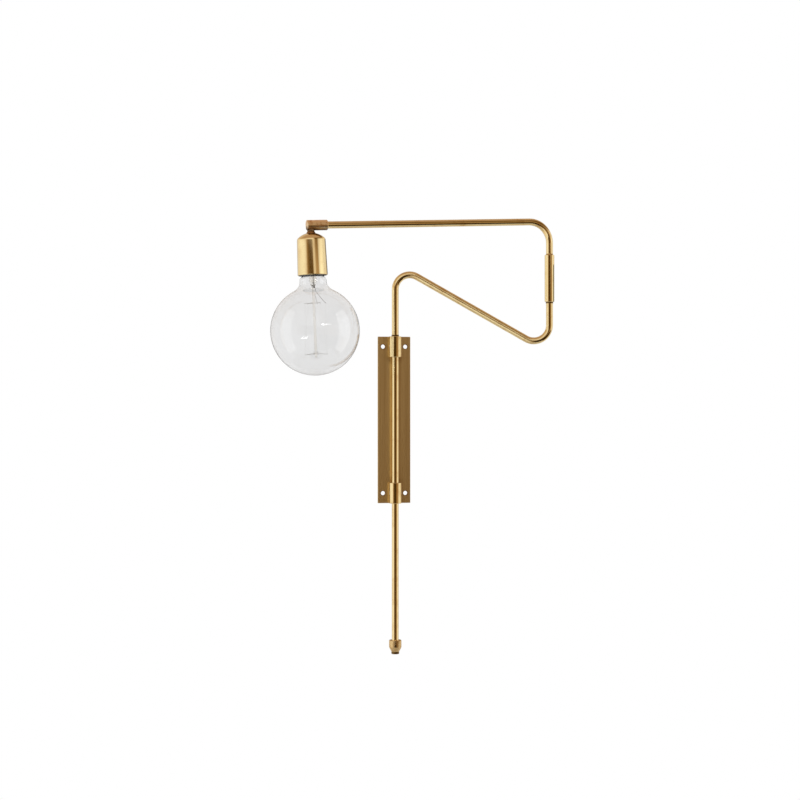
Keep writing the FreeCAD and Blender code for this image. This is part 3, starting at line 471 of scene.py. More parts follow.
# Zinc plated steel: a thin bright electroplate, silvery with a cloudy mottle.
PLATED_STEEL = Metal("zinc_plated_steel", colour="#C6C2B6", shade="#A9A498", roughness=0.28)
# Hard brass strip, stamped and bent into springs: plain yellow, half bright from the rolls.
SPRING_BRASS = Metal("spring_brass", colour="#E2C487", shade="#C7A566", roughness=0.25)
# Aluminium sheet, drawn and rolled into the cap's thread: pale and soft, with a light haze.
ALUMINIUM = Metal("rolled_aluminium", colour="#D8D8D4", shade="#BDBDB9", roughness=0.3)
# Soft solder, set in a drop on the cap's end: grey with a frosted skin.
SOLDER = Metal("solder", colour="#B8B8B4", shade="#94948F", roughness=0.45, cloud_size=1.0)
# Nickel wire, drawn and fused into the glass: greyish and slightly dull from the flame.
NICKEL = Metal("nickel_wire", colour="#A8A299", shade="#868077", roughness=0.35, cloud_size=0.5)
# Nickel melted by the welding electrodes: small dark grey knots, pitted and matt.
WELD_METAL = Metal("weld_knots", colour="#4A4640", shade="#2D2A26", roughness=0.45,
                   cloud_size=0.5)
# Molybdenum wire, drawn fine and set hot in the glass rod: a warm grey with little shine.
MOLYBDENUM = Metal("molybdenum_wire", colour="#B2ACA2", shade="#928C83", roughness=0.4,
                   cloud_size=0.5)
# Tungsten wire, drawn finer than a hair: a pale grey thread that only glints.
TUNGSTEN = Metal("tungsten_wire", colour="#C9C4BA", shade="#A7A299", roughness=0.35,
                 cloud_size=0.5)
# Black nylon turned from rod: an even dull black without any gloss.
NYLON = Moulding("turned_nylon", colour="#1B1B1B", shade="#101010", roughness=0.5)
# Phenolic resin, pressed in a hot steel mould: a deep brown-black with a soft shine.
PHENOLIC = Moulding("phenolic_moulding", roughness=0.28)
# Porcelain, pressed dry and fired unglazed: a creamy white like chalk.
PORCELAIN = Moulding("porcelain", colour="#E9E4D8", shade="#DAD4C6", roughness=0.55)
# Soft vinyl, extruded round the lead's cores: matt black with a fine skin.
SHEATH = Moulding("extruded_sheath", colour="#1C1C1C", shade="#121212", roughness=0.5)
# Vinyl insulation, extruded in the live core's colour: an even, slightly waxy brown.
CORE_BROWN = Moulding("brown_insulation", colour="#6B3F22", shade="#5A341B", roughness=0.45)
# Vinyl insulation, extruded in the neutral core's colour: an even, slightly waxy blue.
CORE_BLUE = Moulding("blue_insulation", colour="#2F5FA8", shade="#284F8C", roughness=0.45)
# Black glass, cast hot into the end of the cap: as dark and shiny as a wet stone.
BLACK_GLASS = Moulding("black_glass", colour="#15151A", shade="#0D0D10", roughness=0.12)
# Soda-lime glass, blown in a mould: clear and faintly grey, with long soft waves in reflections.
CLEAR_GLASS = Glass("clear_glass", colour="#F1F1F1")
# Lead glass tube, softened and pinched round the wires: clear, faintly warm, with short ripples.
STEM_GLASS = Glass("lead_glass", colour="#FAF7F2", wave_size=5.0)


# Modelling: outlines, turned pieces and wires

def shift(x: float = 0.0, y: float = 0.0, z: float = 0.0) -> Matrix:
    """Gives a move in millimetres as a frame."""
    return Matrix.Translation(Vector((x, y, z)) * MM)


def turned(degrees: float, axis: str) -> Matrix:
    """Gives a turn about an axis as a frame."""
    return Matrix.Rotation(math.radians(degrees), 4, axis)


def arc(centre: Point, radius: float, first: float, last: float, steps: int) -> Outline:
    """Gives points along a circle in an outline.

    Args:
        centre: Its middle, as a distance from the axis and a height.
        radius: Its radius.
        first: The angle of the first point, from the way of falling height, in degrees.
        last: The angle of the last point.
        steps: How many pieces the arc is cut into.

    Returns:
        The points, both ends among them.
    """
    angles = [math.radians(first + (last - first) * step / steps) for step in range(steps + 1)]
    return [(centre[0] + radius * math.sin(angle), centre[1] - radius * math.cos(angle))
            for angle in angles]


def soft_corner(before: Point, corner: Point, after: Point, steps: int = 6) -> Outline:
    """Gives points that round off a corner.

    Args:
        before: Where the rounding starts, on the corner's first side.
        corner: The corner.
        after: Where the rounding ends, on its second side.
        steps: How many pieces the rounding is cut into.

    Returns:
        The points, both ends among them.
    """
    points = []
    for step in range(steps + 1):
        share = step / steps
        weights = (1 - share) ** 2, 2 * share * (1 - share), share ** 2
        points.append(tuple(weights[0] * before[side] + weights[1] * corner[side]
                            + weights[2] * after[side] for side in (0, 1)))
    return points


def name_piece(piece: Piece, name: str) -> None:
    """Names a piece and its mesh alike."""
    piece.name = name
    piece.data.name = name


def start_point(name: str, spot: tuple[float, float, float]) -> Piece:
    """Starts a new piece in edit mode as a square that is pressed to a single point.

    Args:
        name: The piece's name.
        spot: Where the point is, in millimetres.

    Returns:
        The piece, with its one point selected.
    """
    bpy.ops.object.select_all(action="DESELECT")
    bpy.ops.mesh.primitive_plane_add(size=MM, location=Vector(spot) * MM)
    piece = bpy.context.object
    name_piece(piece, name)
    bpy.ops.object.transform_apply(location=True, rotation=False, scale=False)
    bpy.ops.object.mode_set(mode="EDIT")
    bpy.ops.mesh.select_mode(type="VERT")
    bpy.ops.mesh.select_all(action="SELECT")
    bpy.ops.mesh.merge(type="CENTER")
    return piece


def pull(move: Vector) -> None:
    """Extrudes what is selected by a move in millimetres."""
    bpy.ops.mesh.extrude_region_move(TRANSFORM_OT_translate={"value": move * MM})


def merge_doubles() -> None:
    """Merges points that lie on each other, and selects everything."""
    bpy.ops.mesh.select_all(action="SELECT")
    bpy.ops.mesh.remove_doubles(threshold=WELD)
    bpy.ops.mesh.select_all(action="SELECT")


def close_mesh() -> None:
    """Merges doubles, turns all faces outwards and leaves edit mode."""
    merge_doubles()
    bpy.ops.mesh.normals_make_consistent(inside=False)
    bpy.ops.object.mode_set(mode="OBJECT")


def lathe(name: str, outline: Outline, steps: int = 96, closed: bool = True) -> Piece:
    """Turns a piece: extrudes an outline from a point and spins it round the upright axis.

    Args:
        name: The piece's name.
        outline: Distances from the axis and heights, in order.
        steps: How many flats there are in a full turn.
        closed: Whether the outline ends where it starts, and not on the axis.

    Returns:
        The turned piece, in object mode.
    """
    piece = start_point(name, (outline[0][0], 0.0, outline[0][1]))
    stops = outline + outline[:1] if closed else outline
    for here, there in zip(stops, stops[1:]):
        pull(Vector((there[0] - here[0], 0.0, there[1] - here[1])))
    merge_doubles()
    bpy.ops.mesh.spin(steps=steps, angle=FULL_TURN, center=(0.0, 0.0, 0.0), axis=(0.0, 0.0, 1.0))
    close_mesh()
    return piece


def wires(name: str, runs: Sequence[Sequence[Vector]], diameter: float,
          smooth: bool = True) -> Piece:
    """Draws wires point by point, and gives them their thickness.

    Args:
        name: The piece's name.
        runs: The points of each wire, in millimetres.
        diameter: How thick the wire is.
        smooth: Whether a wire curves past its points, as bent wire does.

    Returns:
        The wires as one mesh, in object mode.
    """
    piece = start_point(name, runs[0][0])
    for index, run in enumerate(runs):
        if index:
            bpy.ops.mesh.primitive_plane_add(size=MM, location=run[0] * MM)
            bpy.ops.mesh.merge(type="CENTER")
        for here, there in zip(run, run[1:]):
            pull(there - here)
    bpy.ops.object.mode_set(mode="OBJECT")
    bpy.ops.object.convert(target="CURVE")
    curve = piece.data
    if smooth:
        bpy.ops.object.mode_set(mode="EDIT")
        bpy.ops.curve.select_all(action="SELECT")
        bpy.ops.curve.spline_type_set(type="NURBS")
        bpy.ops.object.mode_set(mode="OBJECT")
        for spline in curve.splines:
            spline.order_u = WIRE_ORDER
            spline.use_endpoint_u = True
    curve.resolution_u = WIRE_STEPS
    curve.bevel_depth = diameter * MM / 2
    curve.bevel_resolution = WIRE_ROUNDNESS
    curve.use_fill_caps = True
    bpy.ops.object.convert(target="MESH")
    name_piece(piece, name)
    bpy.ops.object.mode_set(mode="EDIT")
    close_mesh()
    return piece


def choose_faces(piece: Piece, wanted: Callable[[Vector, Vector], bool]) -> None:
    """Selects faces by their middle, in millimetres, and their normal, and nothing else.

    Args:
        piece: The piece, which is in edit mode before and after.
        wanted: Says whether a face is chosen.
    """
    bpy.ops.mesh.select_mode(type="FACE")
    bpy.ops.mesh.select_all(action="DESELECT")
    bpy.ops.object.mode_set(mode="OBJECT")
    for face in piece.data.polygons:
        face.select = wanted(face.center / MM, face.normal)
    bpy.ops.object.mode_set(mode="EDIT")


@dataclass(frozen=True)
class Rig:
    """How the arms stand at rest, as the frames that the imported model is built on."""

    rod_axis: float = -11.1
    lower_swing: float = -8.0
    lower_reach: float = 225.0
    upper_swing: float = -167.0
    upper_bend: float = 30.0
    upper_height: float = 257.416
    droop: float = 2.5
    straight: float = 325.6

    def rod(self) -> Matrix:
        """Gives the frame of the lower arm's rod."""
        return shift(y=self.rod_axis) @ turned(self.lower_swing, "Z")

    def elbow(self) -> Matrix:
        """Gives the frame of the elbow, with the upper arm along x."""
        return self.rod() @ shift(x=self.lower_reach) @ turned(self.upper_swing, "Z")

    def arm_end(self) -> Matrix:
        """Gives the frame that the long arm runs in."""
        bend = shift(self.upper_bend, 0.0, self.upper_height)
        return self.elbow() @ bend @ turned(self.droop, "Y")

    def fitting(self) -> Matrix:
        """Gives the end fitting's frame, with its axis along the arm."""
        return self.arm_end() @ shift(z=self.upper_bend) @ turned(90.0, "Y")

    def holder(self) -> Matrix:
        """Gives the lampholder's frame, with its axis pointing down."""
        return self.arm_end() @ shift(self.straight, 0.0, self.upper_bend) @ turned(180.0, "X")


class Finisher:
    """Makes each finish once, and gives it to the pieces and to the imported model's nodes."""

    def __init__(self) -> None:
        """Starts with no finish made."""
        self.made: dict[Finish, Material] = {}

    def material(self, finish: Finish) -> Material:
        """Gives a finish's material.

        Args:
            finish: The finish.

        Returns:
            Its material, made at the first call.
        """
        if finish not in self.made:
            self.made[finish] = finish.material()
        return self.made[finish]

    def dress(self, nodes: dict[str, Finish]) -> None:
        """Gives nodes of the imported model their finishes.

        Args:
            nodes: The finish of each node.
        """
        for node, finish in nodes.items():
            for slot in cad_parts[node].material_slots:
                slot.material = self.material(finish)
            LOG.info("%s: %s", node, finish.name)


@dataclass
class SubAssembly:
    """What every sub-assembly has: the finisher, the rig and the body that carries it."""

    finisher: Finisher
    rig: Rig
    body: str

    def hand_over(self, piece: Piece, place: Matrix, slot: str, finish: Finish,
                  replaced: str | None = None) -> None:
        """Puts a modelled piece in its place, smooths and dresses it, and makes it ride.

        Args:
            piece: The piece, modelled in its own frame and still selected.
            place: That frame.
            slot: The name of a material slot; not used.
            finish: Its finish.
            replaced: The node that it stands for, if it isn't an added piece.
        """
        piece.matrix_world = place
        bpy.ops.object.transform_apply(location=True, rotation=True, scale=True)
        bpy.ops.object.shade_smooth_by_angle(angle=SMOOTH_BELOW)
        piece.data.materials.clear()
        piece.data.materials.append(self.finisher.material(finish))
        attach(piece, self.body)
        if replaced:
            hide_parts(replaced)
        LOG.info("%s: %d faces on %s", piece.name, len(piece.data.polygons), self.body)


@dataclass
class WallBracket(SubAssembly):
    """The drilled plate and its two sleeves, with the braze that holds them."""

    sleeve_length: float = 30.0
    sleeve_bottoms: tuple[float, ...] = (91.0, -121.0)
    seam_outline: Outline = ((2.5, -2.45), (5.6, -2.45), (5.1, -2.72), (4.75, -3.05), (4.6, -3.45),
                             (3.6, -3.0))
    seam_swells: tuple[float, ...] = (1.0, 1.07, 0.96, 1.05, 0.93, 1.06, 1.0, 0.94, 1.08, 0.97)

    def seam(self) -> Piece:
        """Models one braze seam, a hollow fillet of uneven width between plate and sleeve.

        Returns:
            The seam on one side of a sleeve, upright from the level of the origin.
        """
        first = self.seam_outline[0]
        piece = start_point("braze_seam", (first[0], first[1], 0.0))
        for here, there in zip(self.seam_outline, self.seam_outline[1:] + self.seam_outline[:1]):
            pull(Vector((there[0] - here[0], there[1] - here[1], 0.0)))
        merge_doubles()
        bpy.ops.mesh.edge_face_add()
        rise = self.sleeve_length / len(self.seam_swells)
        root = Vector((first[0], first[1], 0.0)) * MM
        for swell in self.seam_swells:
            pull(Vector((0.0, 0.0, rise)))
            bpy.ops.transform.resize(value=(swell, swell, 1.0), center_override=root)
        close_mesh()
        return piece

    def build(self) -> None:
        """Builds the seams on both sides of both sleeves from one."""
        seam = self.seam()
        mirror = seam.modifiers.new("other_side", "MIRROR")
        mirror.use_mirror_merge = False
        bpy.ops.object.modifier_apply(modifier=mirror.name)
        bpy.ops.object.mode_set(mode="EDIT")
        close_mesh()
        for name, bottom in zip(("upper_braze_seams", "lower_braze_seams"), self.sleeve_bottoms):
            bpy.ops.object.select_all(action="DESELECT")
            seam.select_set(True)
            bpy.context.view_layer.objects.active = seam
            bpy.ops.object.duplicate(linked=False)
            piece = bpy.context.object
            name_piece(piece, name)
            self.hand_over(piece, shift(z=bottom), "raw_brass", BRAZE)
        bpy.data.objects.remove(seam)

    def dress(self) -> None:
        """Dresses the plate, the sleeves and their bushes."""
        self.finisher.dress({"wall_plate": SHEET_BRASS, "upper_wall_sleeve": TURNED_BRASS,
                             "lower_wall_sleeve": TURNED_BRASS, "upper_wall_bush": NYLON,
                             "lower_wall_bush": NYLON})


@dataclass
class LowerArm(SubAssembly):
    """The bent tube that turns in the wall sleeves, its stop rings and the cord grip."""

    screw_diameter: float = 3.0
    screw_length: float = 4.8
    screw_place: tuple[float, float, float] = (0.0, -8.6, -327.1)
    slot_width: float = 0.6
    slot_depth: float = 0.8
    point_bevel: float = 0.35

    def grip_screw(self) -> Piece:
        """Models a headless screw with a slot sawn across its outer end.

        Returns:
            The screw along z, with its slot at the origin.
        """
        radius = self.screw_diameter / 2
        bpy.ops.object.select_all(action="DESELECT")
        bpy.ops.mesh.primitive_cylinder_add(vertices=SCREW_FLATS, radius=radius * MM,
                                            depth=self.screw_length * MM,
                                            location=(0.0, 0.0, -self.screw_length * MM / 2))
        piece = bpy.context.object
        name_piece(piece, "slotted_grip_screw")
        bpy.ops.object.transform_apply(location=True, rotation=False, scale=False)
        bpy.ops.object.mode_set(mode="EDIT")
        for side in (-0.5, 0.5):
            bpy.ops.mesh.select_all(action="SELECT")
            bpy.ops.mesh.bisect(plane_co=(side * self.slot_width * MM, 0.0, 0.0),
                                plane_no=(1.0, 0.0, 0.0), threshold=WELD)
        bpy.ops.mesh.select_all(action="SELECT")
        bpy.ops.mesh.bisect(plane_co=(0.0, 0.0, -self.slot_depth * MM), plane_no=(0.0, 0.0, 1.0),
                            threshold=WELD)
        choose_faces(piece, lambda middle, normal: abs(middle.x) < self.slot_width / 2
                     and middle.z > -self.slot_depth and abs(normal.z) < FACING)
        bpy.ops.mesh.delete(type="FACE")
        choose_faces(piece, lambda middle, normal: abs(middle.x) < self.slot_width / 2
                     and normal.z > FACING)
        pull(Vector((0.0, 0.0, -self.slot_depth)))
        choose_faces(piece, lambda middle, normal: abs(middle.x) < self.slot_width / 2
                     and -self.slot_depth < middle.z < 0.0 and abs(normal.y) > FACING)
        bpy.ops.mesh.delete(type="FACE")
        merge_doubles()
        choose_faces(piece, lambda middle, normal: abs(normal.z) > FACING
                     and middle.z < self.slot_depth - self.screw_length)
        bpy.ops.transform.translate(value=(0.0, 0.0, self.point_bevel * MM))
        pull(Vector((0.0, 0.0, -self.point_bevel)))
        drawn_in = 1 - self.point_bevel / radius
        bpy.ops.transform.resize(value=(drawn_in, drawn_in, 1.0), center_override=(0.0, 0.0, 0.0))
        close_mesh()
        return piece

    def build(self) -> None:
        """Builds the grip's screw."""
        place = self.rig.rod() @ shift(*self.screw_place) @ turned(90.0, "X")
        self.hand_over(self.grip_screw(), place, "dark_metal", BROWNED_STEEL, "cord_grip_screw")

    def dress(self) -> None:
        """Dresses the tube, its rings, the rest of the cord grip and the lead."""
        # The stop rings' dark brass is painted shade for the shadowed gaps at the sleeves' ends.
        self.finisher.dress({"lower_arm_tube": DRAWN_BRASS, "wall_stop_ring": DARK_BRASS,
                             "elbow_stop_ring": DARK_BRASS, "cord_grip_body": DULL_BRASS,
                             "cord_grip_ferrule": DARK_BRASS, "lower_arm_lead": SHEATH})


@dataclass
class UpperArm(SubAssembly):
    """The elbow sleeve, the long arm and the end fitting."""

    solder_outline: Outline = ((4.9, 240.0), (6.5, 240.0), (6.0, 240.15), (5.5, 240.5),
                               (5.15, 241.0), (5.02, 241.8), (4.9, 241.8))
    screw_diameter: float = 4.0
    screw_length: float = 2.2
    screw_place: tuple[float, float, float] = (0.0, -7.25, 307.7)
    socket_sides: int = 6
    socket_reach: float = 1.1
    socket_depth: float = 1.4
    rim_bevel: float = 0.25

    def grub_screw(self) -> Piece:
        """Models a headless screw with a six-sided socket.

        Returns:
            The screw along z, with its outer end at the origin.
        """
        radius = self.screw_diameter / 2
        bpy.ops.object.select_all(action="DESELECT")
        bpy.ops.mesh.primitive_circle_add(vertices=SCREW_FLATS,
                                          radius=(radius - self.rim_bevel) * MM)
        piece = bpy.context.object
        name_piece(piece, "socketed_grub_screw")
        bpy.ops.object.mode_set(mode="EDIT")
        bpy.ops.mesh.select_mode(type="VERT")
        bpy.ops.mesh.select_all(action="SELECT")
        pull(Vector((0.0, 0.0, -self.rim_bevel)))
        grown = radius / (radius - self.rim_bevel)
        bpy.ops.transform.resize(value=(grown, grown, 1.0), center_override=(0.0, 0.0, 0.0))
        pull(Vector((0.0, 0.0, self.rim_bevel - self.screw_length)))
        bpy.ops.mesh.edge_face_add()
        bpy.ops.mesh.select_all(action="DESELECT")
        bpy.ops.mesh.primitive_circle_add(vertices=self.socket_sides,
                                          radius=self.socket_reach * MM)
        pull(Vector((0.0, 0.0, -self.socket_depth)))
        bpy.ops.mesh.edge_face_add()
        bpy.ops.mesh.select_all(action="DESELECT")
        bpy.ops.mesh.select_mode(type="EDGE")
        bpy.ops.object.mode_set(mode="OBJECT")
        points = piece.data.vertices
        for edge in piece.data.edges:
            edge.select = all(points[end].co.z > -WELD for end in edge.vertices)
        bpy.ops.object.mode_set(mode="EDIT")
        bpy.ops.mesh.bridge_edge_loops()
        close_mesh()
        return piece

    def build(self) -> None:
        """Builds the solder round the arm's foot and the fitting's screw."""
        solder = lathe("elbow_solder_ring", list(self.solder_outline))
        self.hand_over(solder, self.rig.elbow(), "raw_brass", BRAZE)
        place = self.rig.fitting() @ shift(*self.screw_place) @ turned(90.0, "X")
        self.hand_over(self.grub_screw(), place, "dark_metal", BLACKENED_STEEL,
                       "end_fitting_screw")

    def dress(self) -> None:
        """Dresses the elbow, the arm, the end fitting and what runs inside them."""
        self.finisher.dress({"elbow_sleeve": TURNED_BRASS, "elbow_bush": NYLON,
                             "upper_arm_tube": ARM_BRASS, "end_fitting": BROWNED_BRASS,
                             "upper_arm_lead": SHEATH, "live_core": CORE_BROWN,
                             "neutral_core": CORE_BLUE})


@dataclass
class Lampholder(SubAssembly):
    """The spun cup and the lampholder in it."""

    collar: Outline = ((5.05, 8.9), (5.25, 8.9), (5.4, 9.1), (6.8, 11.5))
    dome_centre: Point = (0.633, 36.75)
    dome_radius: float = 26.0
    dome_angles: Point = (13.72, 44.6)
    dome_steps: int = 16
    inner_dome_angles: Point = (15.9, 44.6)
    inner_dome_steps: int = 14
    shoulder: Point = (19.9, 19.3)
    side_start: Point = (19.965, 21.2)
    wall: float = 0.9
    lip_corners: tuple[tuple[Point, Point, Point], ...] = (
        ((21.06, 68.9), (21.16, 69.8), (20.6, 69.8)), ((20.3, 69.8), (19.85, 69.8), (19.85, 69.1)),
        ((19.85, 68.9), (19.85, 68.4), (20.14, 67.6)))
    seat: Outline = ((7.5, 12.4), (5.05, 12.4))
    cup_flats: int = 128

    def cup(self) -> Piece:
        """Spins the cup: a collar, a domed shoulder, a flared side and a lip rolled inwards.

        Returns:
            The cup, with its axis on z and its mouth at the greater height.
        """
        dome = arc(self.dome_centre, self.dome_radius, *self.dome_angles, self.dome_steps)
        outline = list(self.collar) + dome[1:]
        outline += soft_corner(dome[-1], self.shoulder, self.side_start)[1:]
        for corner in self.lip_corners:
            outline += soft_corner(*corner)
        outline += [(self.side_start[0] - self.wall, self.side_start[1])]
        inside = arc(self.dome_centre, self.dome_radius - self.wall, *self.inner_dome_angles,
                     self.inner_dome_steps)
        outline += list(reversed(inside)) + list(self.seat)
        return lathe("spun_cup", outline, steps=self.cup_flats)

    def build(self) -> None:
        """Builds the cup."""
        self.hand_over(self.cup(), self.rig.holder(), "raw_brass", SPUN_BRASS, "lampholder_cup")

    def dress(self) -> None:
        """Dresses the neck and the lampholder's own pieces."""
        self.finisher.dress({"holder_nipple": BROWNED_BRASS, "nipple_washer": PLATED_STEEL,
                             "nipple_locknut": PLATED_STEEL, "holder_cap": PHENOLIC,
                             "holder_skirt": PHENOLIC, "terminal_block": PORCELAIN,
                             "terminal_screws": PLATED_STEEL, "centre_contact": SPRING_BRASS,
                             "side_contact": SPRING_BRASS, "screw_shell": SPRING_BRASS})


@dataclass
class Bulb(SubAssembly):
    """The clear globe bulb: glass, stem, wires, filament and screw cap.

    The knots lie on the stretch of the lead wires between the two knot points.
    """

    globe_radius: float = 62.5
    globe_centre: float = 147.7
    neck_centre: Point = (33.0, 78.68)
    neck_curve: float = 14.0
    junction: float = 25.55
    glass_wall: float = 0.9
    mouth: Point = (11.6, 59.0)
    throat: Point = (15.6, 71.5)
    neck_corners: tuple[tuple[Point, Point, Point], ...] = (
        ((15.9, 71.9), (16.8, 72.8), (17.6, 73.9)), ((17.6, 73.9), (18.65, 75.6), (18.92, 77.2)))
    neck_steps: int = 10
    globe_steps: int = 48
    globe_flats: int = 160
    stem_outline: Outline = (
        (0.0, 81.6), (1.6, 81.2), (3.0, 79.8), (3.9, 77.8), (4.1, 75.6), (4.1, 68.0), (4.5, 65.6),
        (6.2, 63.2), (8.4, 61.8), (10.2, 60.9), (10.6, 60.5), (11.0, 60.8), (10.9, 61.4),
        (8.9, 62.8), (6.9, 64.3), (5.4, 66.4), (5.0, 68.6), (5.0, 79.0), (4.8, 80.6), (4.2, 82.6),
        (3.3, 84.3), (2.6, 85.5), (2.1, 86.6), (1.85, 88.0), (1.8, 90.0), (1.8, 106.2),
        (2.0, 107.2), (2.35, 108.0), (2.5, 108.8), (2.35, 109.6), (2.0, 110.4), (1.8, 111.4),
        (1.8, 176.4), (2.0, 177.4), (2.35, 178.2), (2.5, 179.0), (2.35, 179.8), (2.0, 180.8),
        (1.8, 182.2), (1.7, 183.6), (1.3, 184.6), (0.7, 184.95), (0.0, 185.0))
    stem_flats: int = 64
    hook_diameter: float = 0.4
    hook_eye: Outline = ((-1.0, 0.0), (0.0, 0.0), (0.45, 0.5), (0.0, 1.0), (-0.6, 0.8),
                         (-0.5, 0.3))
    lead_diameter: float = 0.55
    knot_diameter: float = 1.5
    filament_diameter: float = 0.07
    falls: int = 5
    top_height: float = 108.8
    bottom_height: float = 181.0
    bottom_root: float = 179.0
    top_reach: float = 13.0
    bottom_reach: float = 16.0
    lead_reach: float = 16.0
    embedded: float = 1.4
    clearance: float = 0.3
    lead_run: Outline = ((3.2, 61.5), (2.9, 66.0), (1.1, 74.0), (1.0, 79.0), (1.0, 83.0),
                         (1.5, 86.4), (2.4, 88.4), (3.2, 92.0), (9.4, 100.4), (15.6, 108.2),
                         (16.3, 109.0), (16.9, 108.9), (16.8, 108.2), (16.2, 107.9))
    knot_points: tuple[int, int] = (5, 7)
    cap_start: float = 39.5
    cap_valley: float = 12.2
    cap_opening: float = 7.0
    cap_sheet: float = 0.35
    cap_shoulder: float = 1.0
    cap_skirt: Point = (13.9, 64.25)
    cap_flats: int = 72
    thread_pitch: float = 3.63
    thread_turns: int = 5
    thread_depth: float = 0.78
    thread_rings: int = 10
    thread_inside: float = 10.0

    def globe(self) -> Piece:
        """Blows the globe: an even wall, a soft neck and an open mouth that the stem closes.

        Returns:
            The glass, with its axis on z.
        """
        middle = (0.0, self.globe_centre)
        thin = self.glass_wall
        neck = [self.mouth, self.throat]
        for corner in self.neck_corners:
            neck += soft_corner(*corner)[1:]
        sides = []
        for wall, start in ((0.0, neck), (thin, [(reach - thin, high) for reach, high in neck])):
            side = start + arc(self.neck_centre, self.neck_curve + wall, 270.0,
                               180.0 + self.junction, self.neck_steps)
            side += arc(middle, self.globe_radius - wall, self.junction, 180.0,
                        self.globe_steps)[1:]
            side[-1] = (0.0, side[-1][1])
            sides.append(side)
        outside, inside = sides
        return lathe("blown_globe", list(reversed(outside)) + inside, steps=self.globe_flats,
                     closed=False)

    def around(self, index: float) -> Vector:
        """Gives the direction of a wire, a step for each, counted from the first lead."""
        angle = math.pi + FULL_TURN / (self.falls + 1) * index
        return Vector((math.cos(angle), math.sin(angle), 0.0))

    def hook(self, index: float, reach: float, root: float, tip: float,
             curl: float) -> list[Vector]:
        """Bends one hook: out of the rod and round into a small eye.

        Args:
            index: Its place round the rod.
            reach: How far it stands out.
            root: The height where it leaves the rod.
            tip: The height of its end.
            curl: How far the eye turns up, or down if negative.

        Returns:
            Its points.
        """
        out = self.around(index)
        run = [(self.embedded, root), (reach / 2, (root + tip) / 2)]
        run += [(reach + away, tip + curl * share) for away, share in self.hook_eye]
        return [out * away + Vector((0.0, 0.0, height)) for away, height in run]

    def lead(self, index: int) -> list[Vector]:
        """Bends one lead wire: down the stem, through the pinch and out to the filament's end."""
        out = self.around(index)
        return [out * away + Vector((0.0, 0.0, height)) for away, height in self.lead_run]

    def filament_route(self) -> list[Vector]:
        """Gives the places where the filament turns.

        Returns:
            The places, from one lead wire to the other.
        """
        high, low = self.top_height, self.bottom_height
        route = [self.around(0) * (self.lead_reach + self.clearance) + Vector((0.0, 0.0, high))]
        for index in range(self.falls):
            route.append(self.around(index + 0.5) * self.bottom_reach + Vector((0.0, 0.0, low)))
            last = index + 1 == self.falls
            reach = self.lead_reach + self.clearance if last else self.top_reach
            route.append(self.around(index + 1) * reach + Vector((0.0, 0.0, high)))
        return route

    def cap_shell(self) -> Piece:
        """Rolls the screw cap: a sheet shell with a round thread that runs in and out softly.

        Returns:
            The shell, with its axis on z.
        """
        start = self.cap_start + self.cap_shoulder
        rings = self.thread_turns * self.thread_rings
        rise = self.thread_pitch / self.thread_rings
        outer = [(self.cap_valley, start + rise * ring) for ring in range(rings + 1)]
        inner = [(reach - self.cap_sheet, height) for reach, height in reversed(outer)]
        skirt, end = self.cap_skirt
        edge, under = self.cap_valley - self.cap_shoulder, self.cap_start + self.cap_sheet
        outline = [(self.cap_opening, self.cap_start), (edge, self.cap_start)] + outer
        outline += [(skirt, end), (skirt - self.cap_sheet, end)] + inner
        outline += [(edge - self.cap_sheet, under), (self.cap_opening, under)]
        piece = lathe("threaded_cap_shell", outline, steps=self.cap_flats)
        for point in piece.data.vertices:
            turns, away = (point.co.z / MM - start) / self.thread_pitch, point.co.xy.length
            if 0.0 < turns < self.thread_turns and away > self.thread_inside * MM:
                angle = math.atan2(point.co.y, point.co.x)
                swell = 0.5 - 0.5 * math.cos(FULL_TURN * turns - angle)
                fade = min(1.0, turns, self.thread_turns - turns)
                grown = (away + self.thread_depth * MM * swell * fade) / away
                point.co.x *= grown
                point.co.y *= grown
        return piece

    def build(self) -> None:
        """Builds the glass, the stem, the wires, the filament and the cap."""
        place = self.rig.holder()
        self.hand_over(self.globe(), place, "clear_glass", CLEAR_GLASS, "bulb_glass")
        stem = lathe("pressed_stem", list(self.stem_outline), steps=self.stem_flats, closed=False)
        self.hand_over(stem, place, "clear_glass", STEM_GLASS, "bulb_stem")
        runs = [self.lead(0), self.lead(self.falls)]
        leads = wires("inner_lead_wires", runs, self.lead_diameter)
        self.hand_over(leads, place, "wire", NICKEL, "bulb_lead_wires")
        first, last = self.knot_points
        knots = wires("weld_knots", [run[first:last] for run in runs], self.knot_diameter,
                      smooth=False)
        self.hand_over(knots, place, "wire", WELD_METAL)
        hooks = [self.hook(index, self.top_reach, self.top_height, self.top_height, 1.0)
                 for index in range(1, self.falls)]
        tops = wires("top_hooks_with_eyes", hooks, self.hook_diameter)
        self.hand_over(tops, place, "wire", MOLYBDENUM, "filament_top_hooks")
        hooks = [self.hook(index + 0.5, self.bottom_reach, self.bottom_root, self.bottom_height,
                           -1.0) for index in range(self.falls)]
        bottoms = wires("bottom_hooks_with_eyes", hooks, self.hook_diameter)
        self.hand_over(bottoms, place, "wire", MOLYBDENUM, "filament_bottom_hooks")
        filament = wires("fine_filament", [self.filament_route()], self.filament_diameter,
                         smooth=False)
        self.hand_over(filament, place, "wire", TUNGSTEN, "filament")
        self.hand_over(self.cap_shell(), place, "cap_metal", ALUMINIUM, "bulb_cap_shell")

    def dress(self) -> None:
        """Dresses the rest of the cap."""
        self.finisher.dress({"bulb_cap_insulator": BLACK_GLASS, "bulb_cap_contact": SOLDER})


# Studio: camera, world, floor and lamps

@dataclass(frozen=True)
class Panel:
    """One stop of what stands round the lamp at a height, as the metal sees it.

    The azimuth is the direction to the camera's right, from straight behind the camera.
    """

    azimuth: float
    level: float
    warmth: float = 1.0


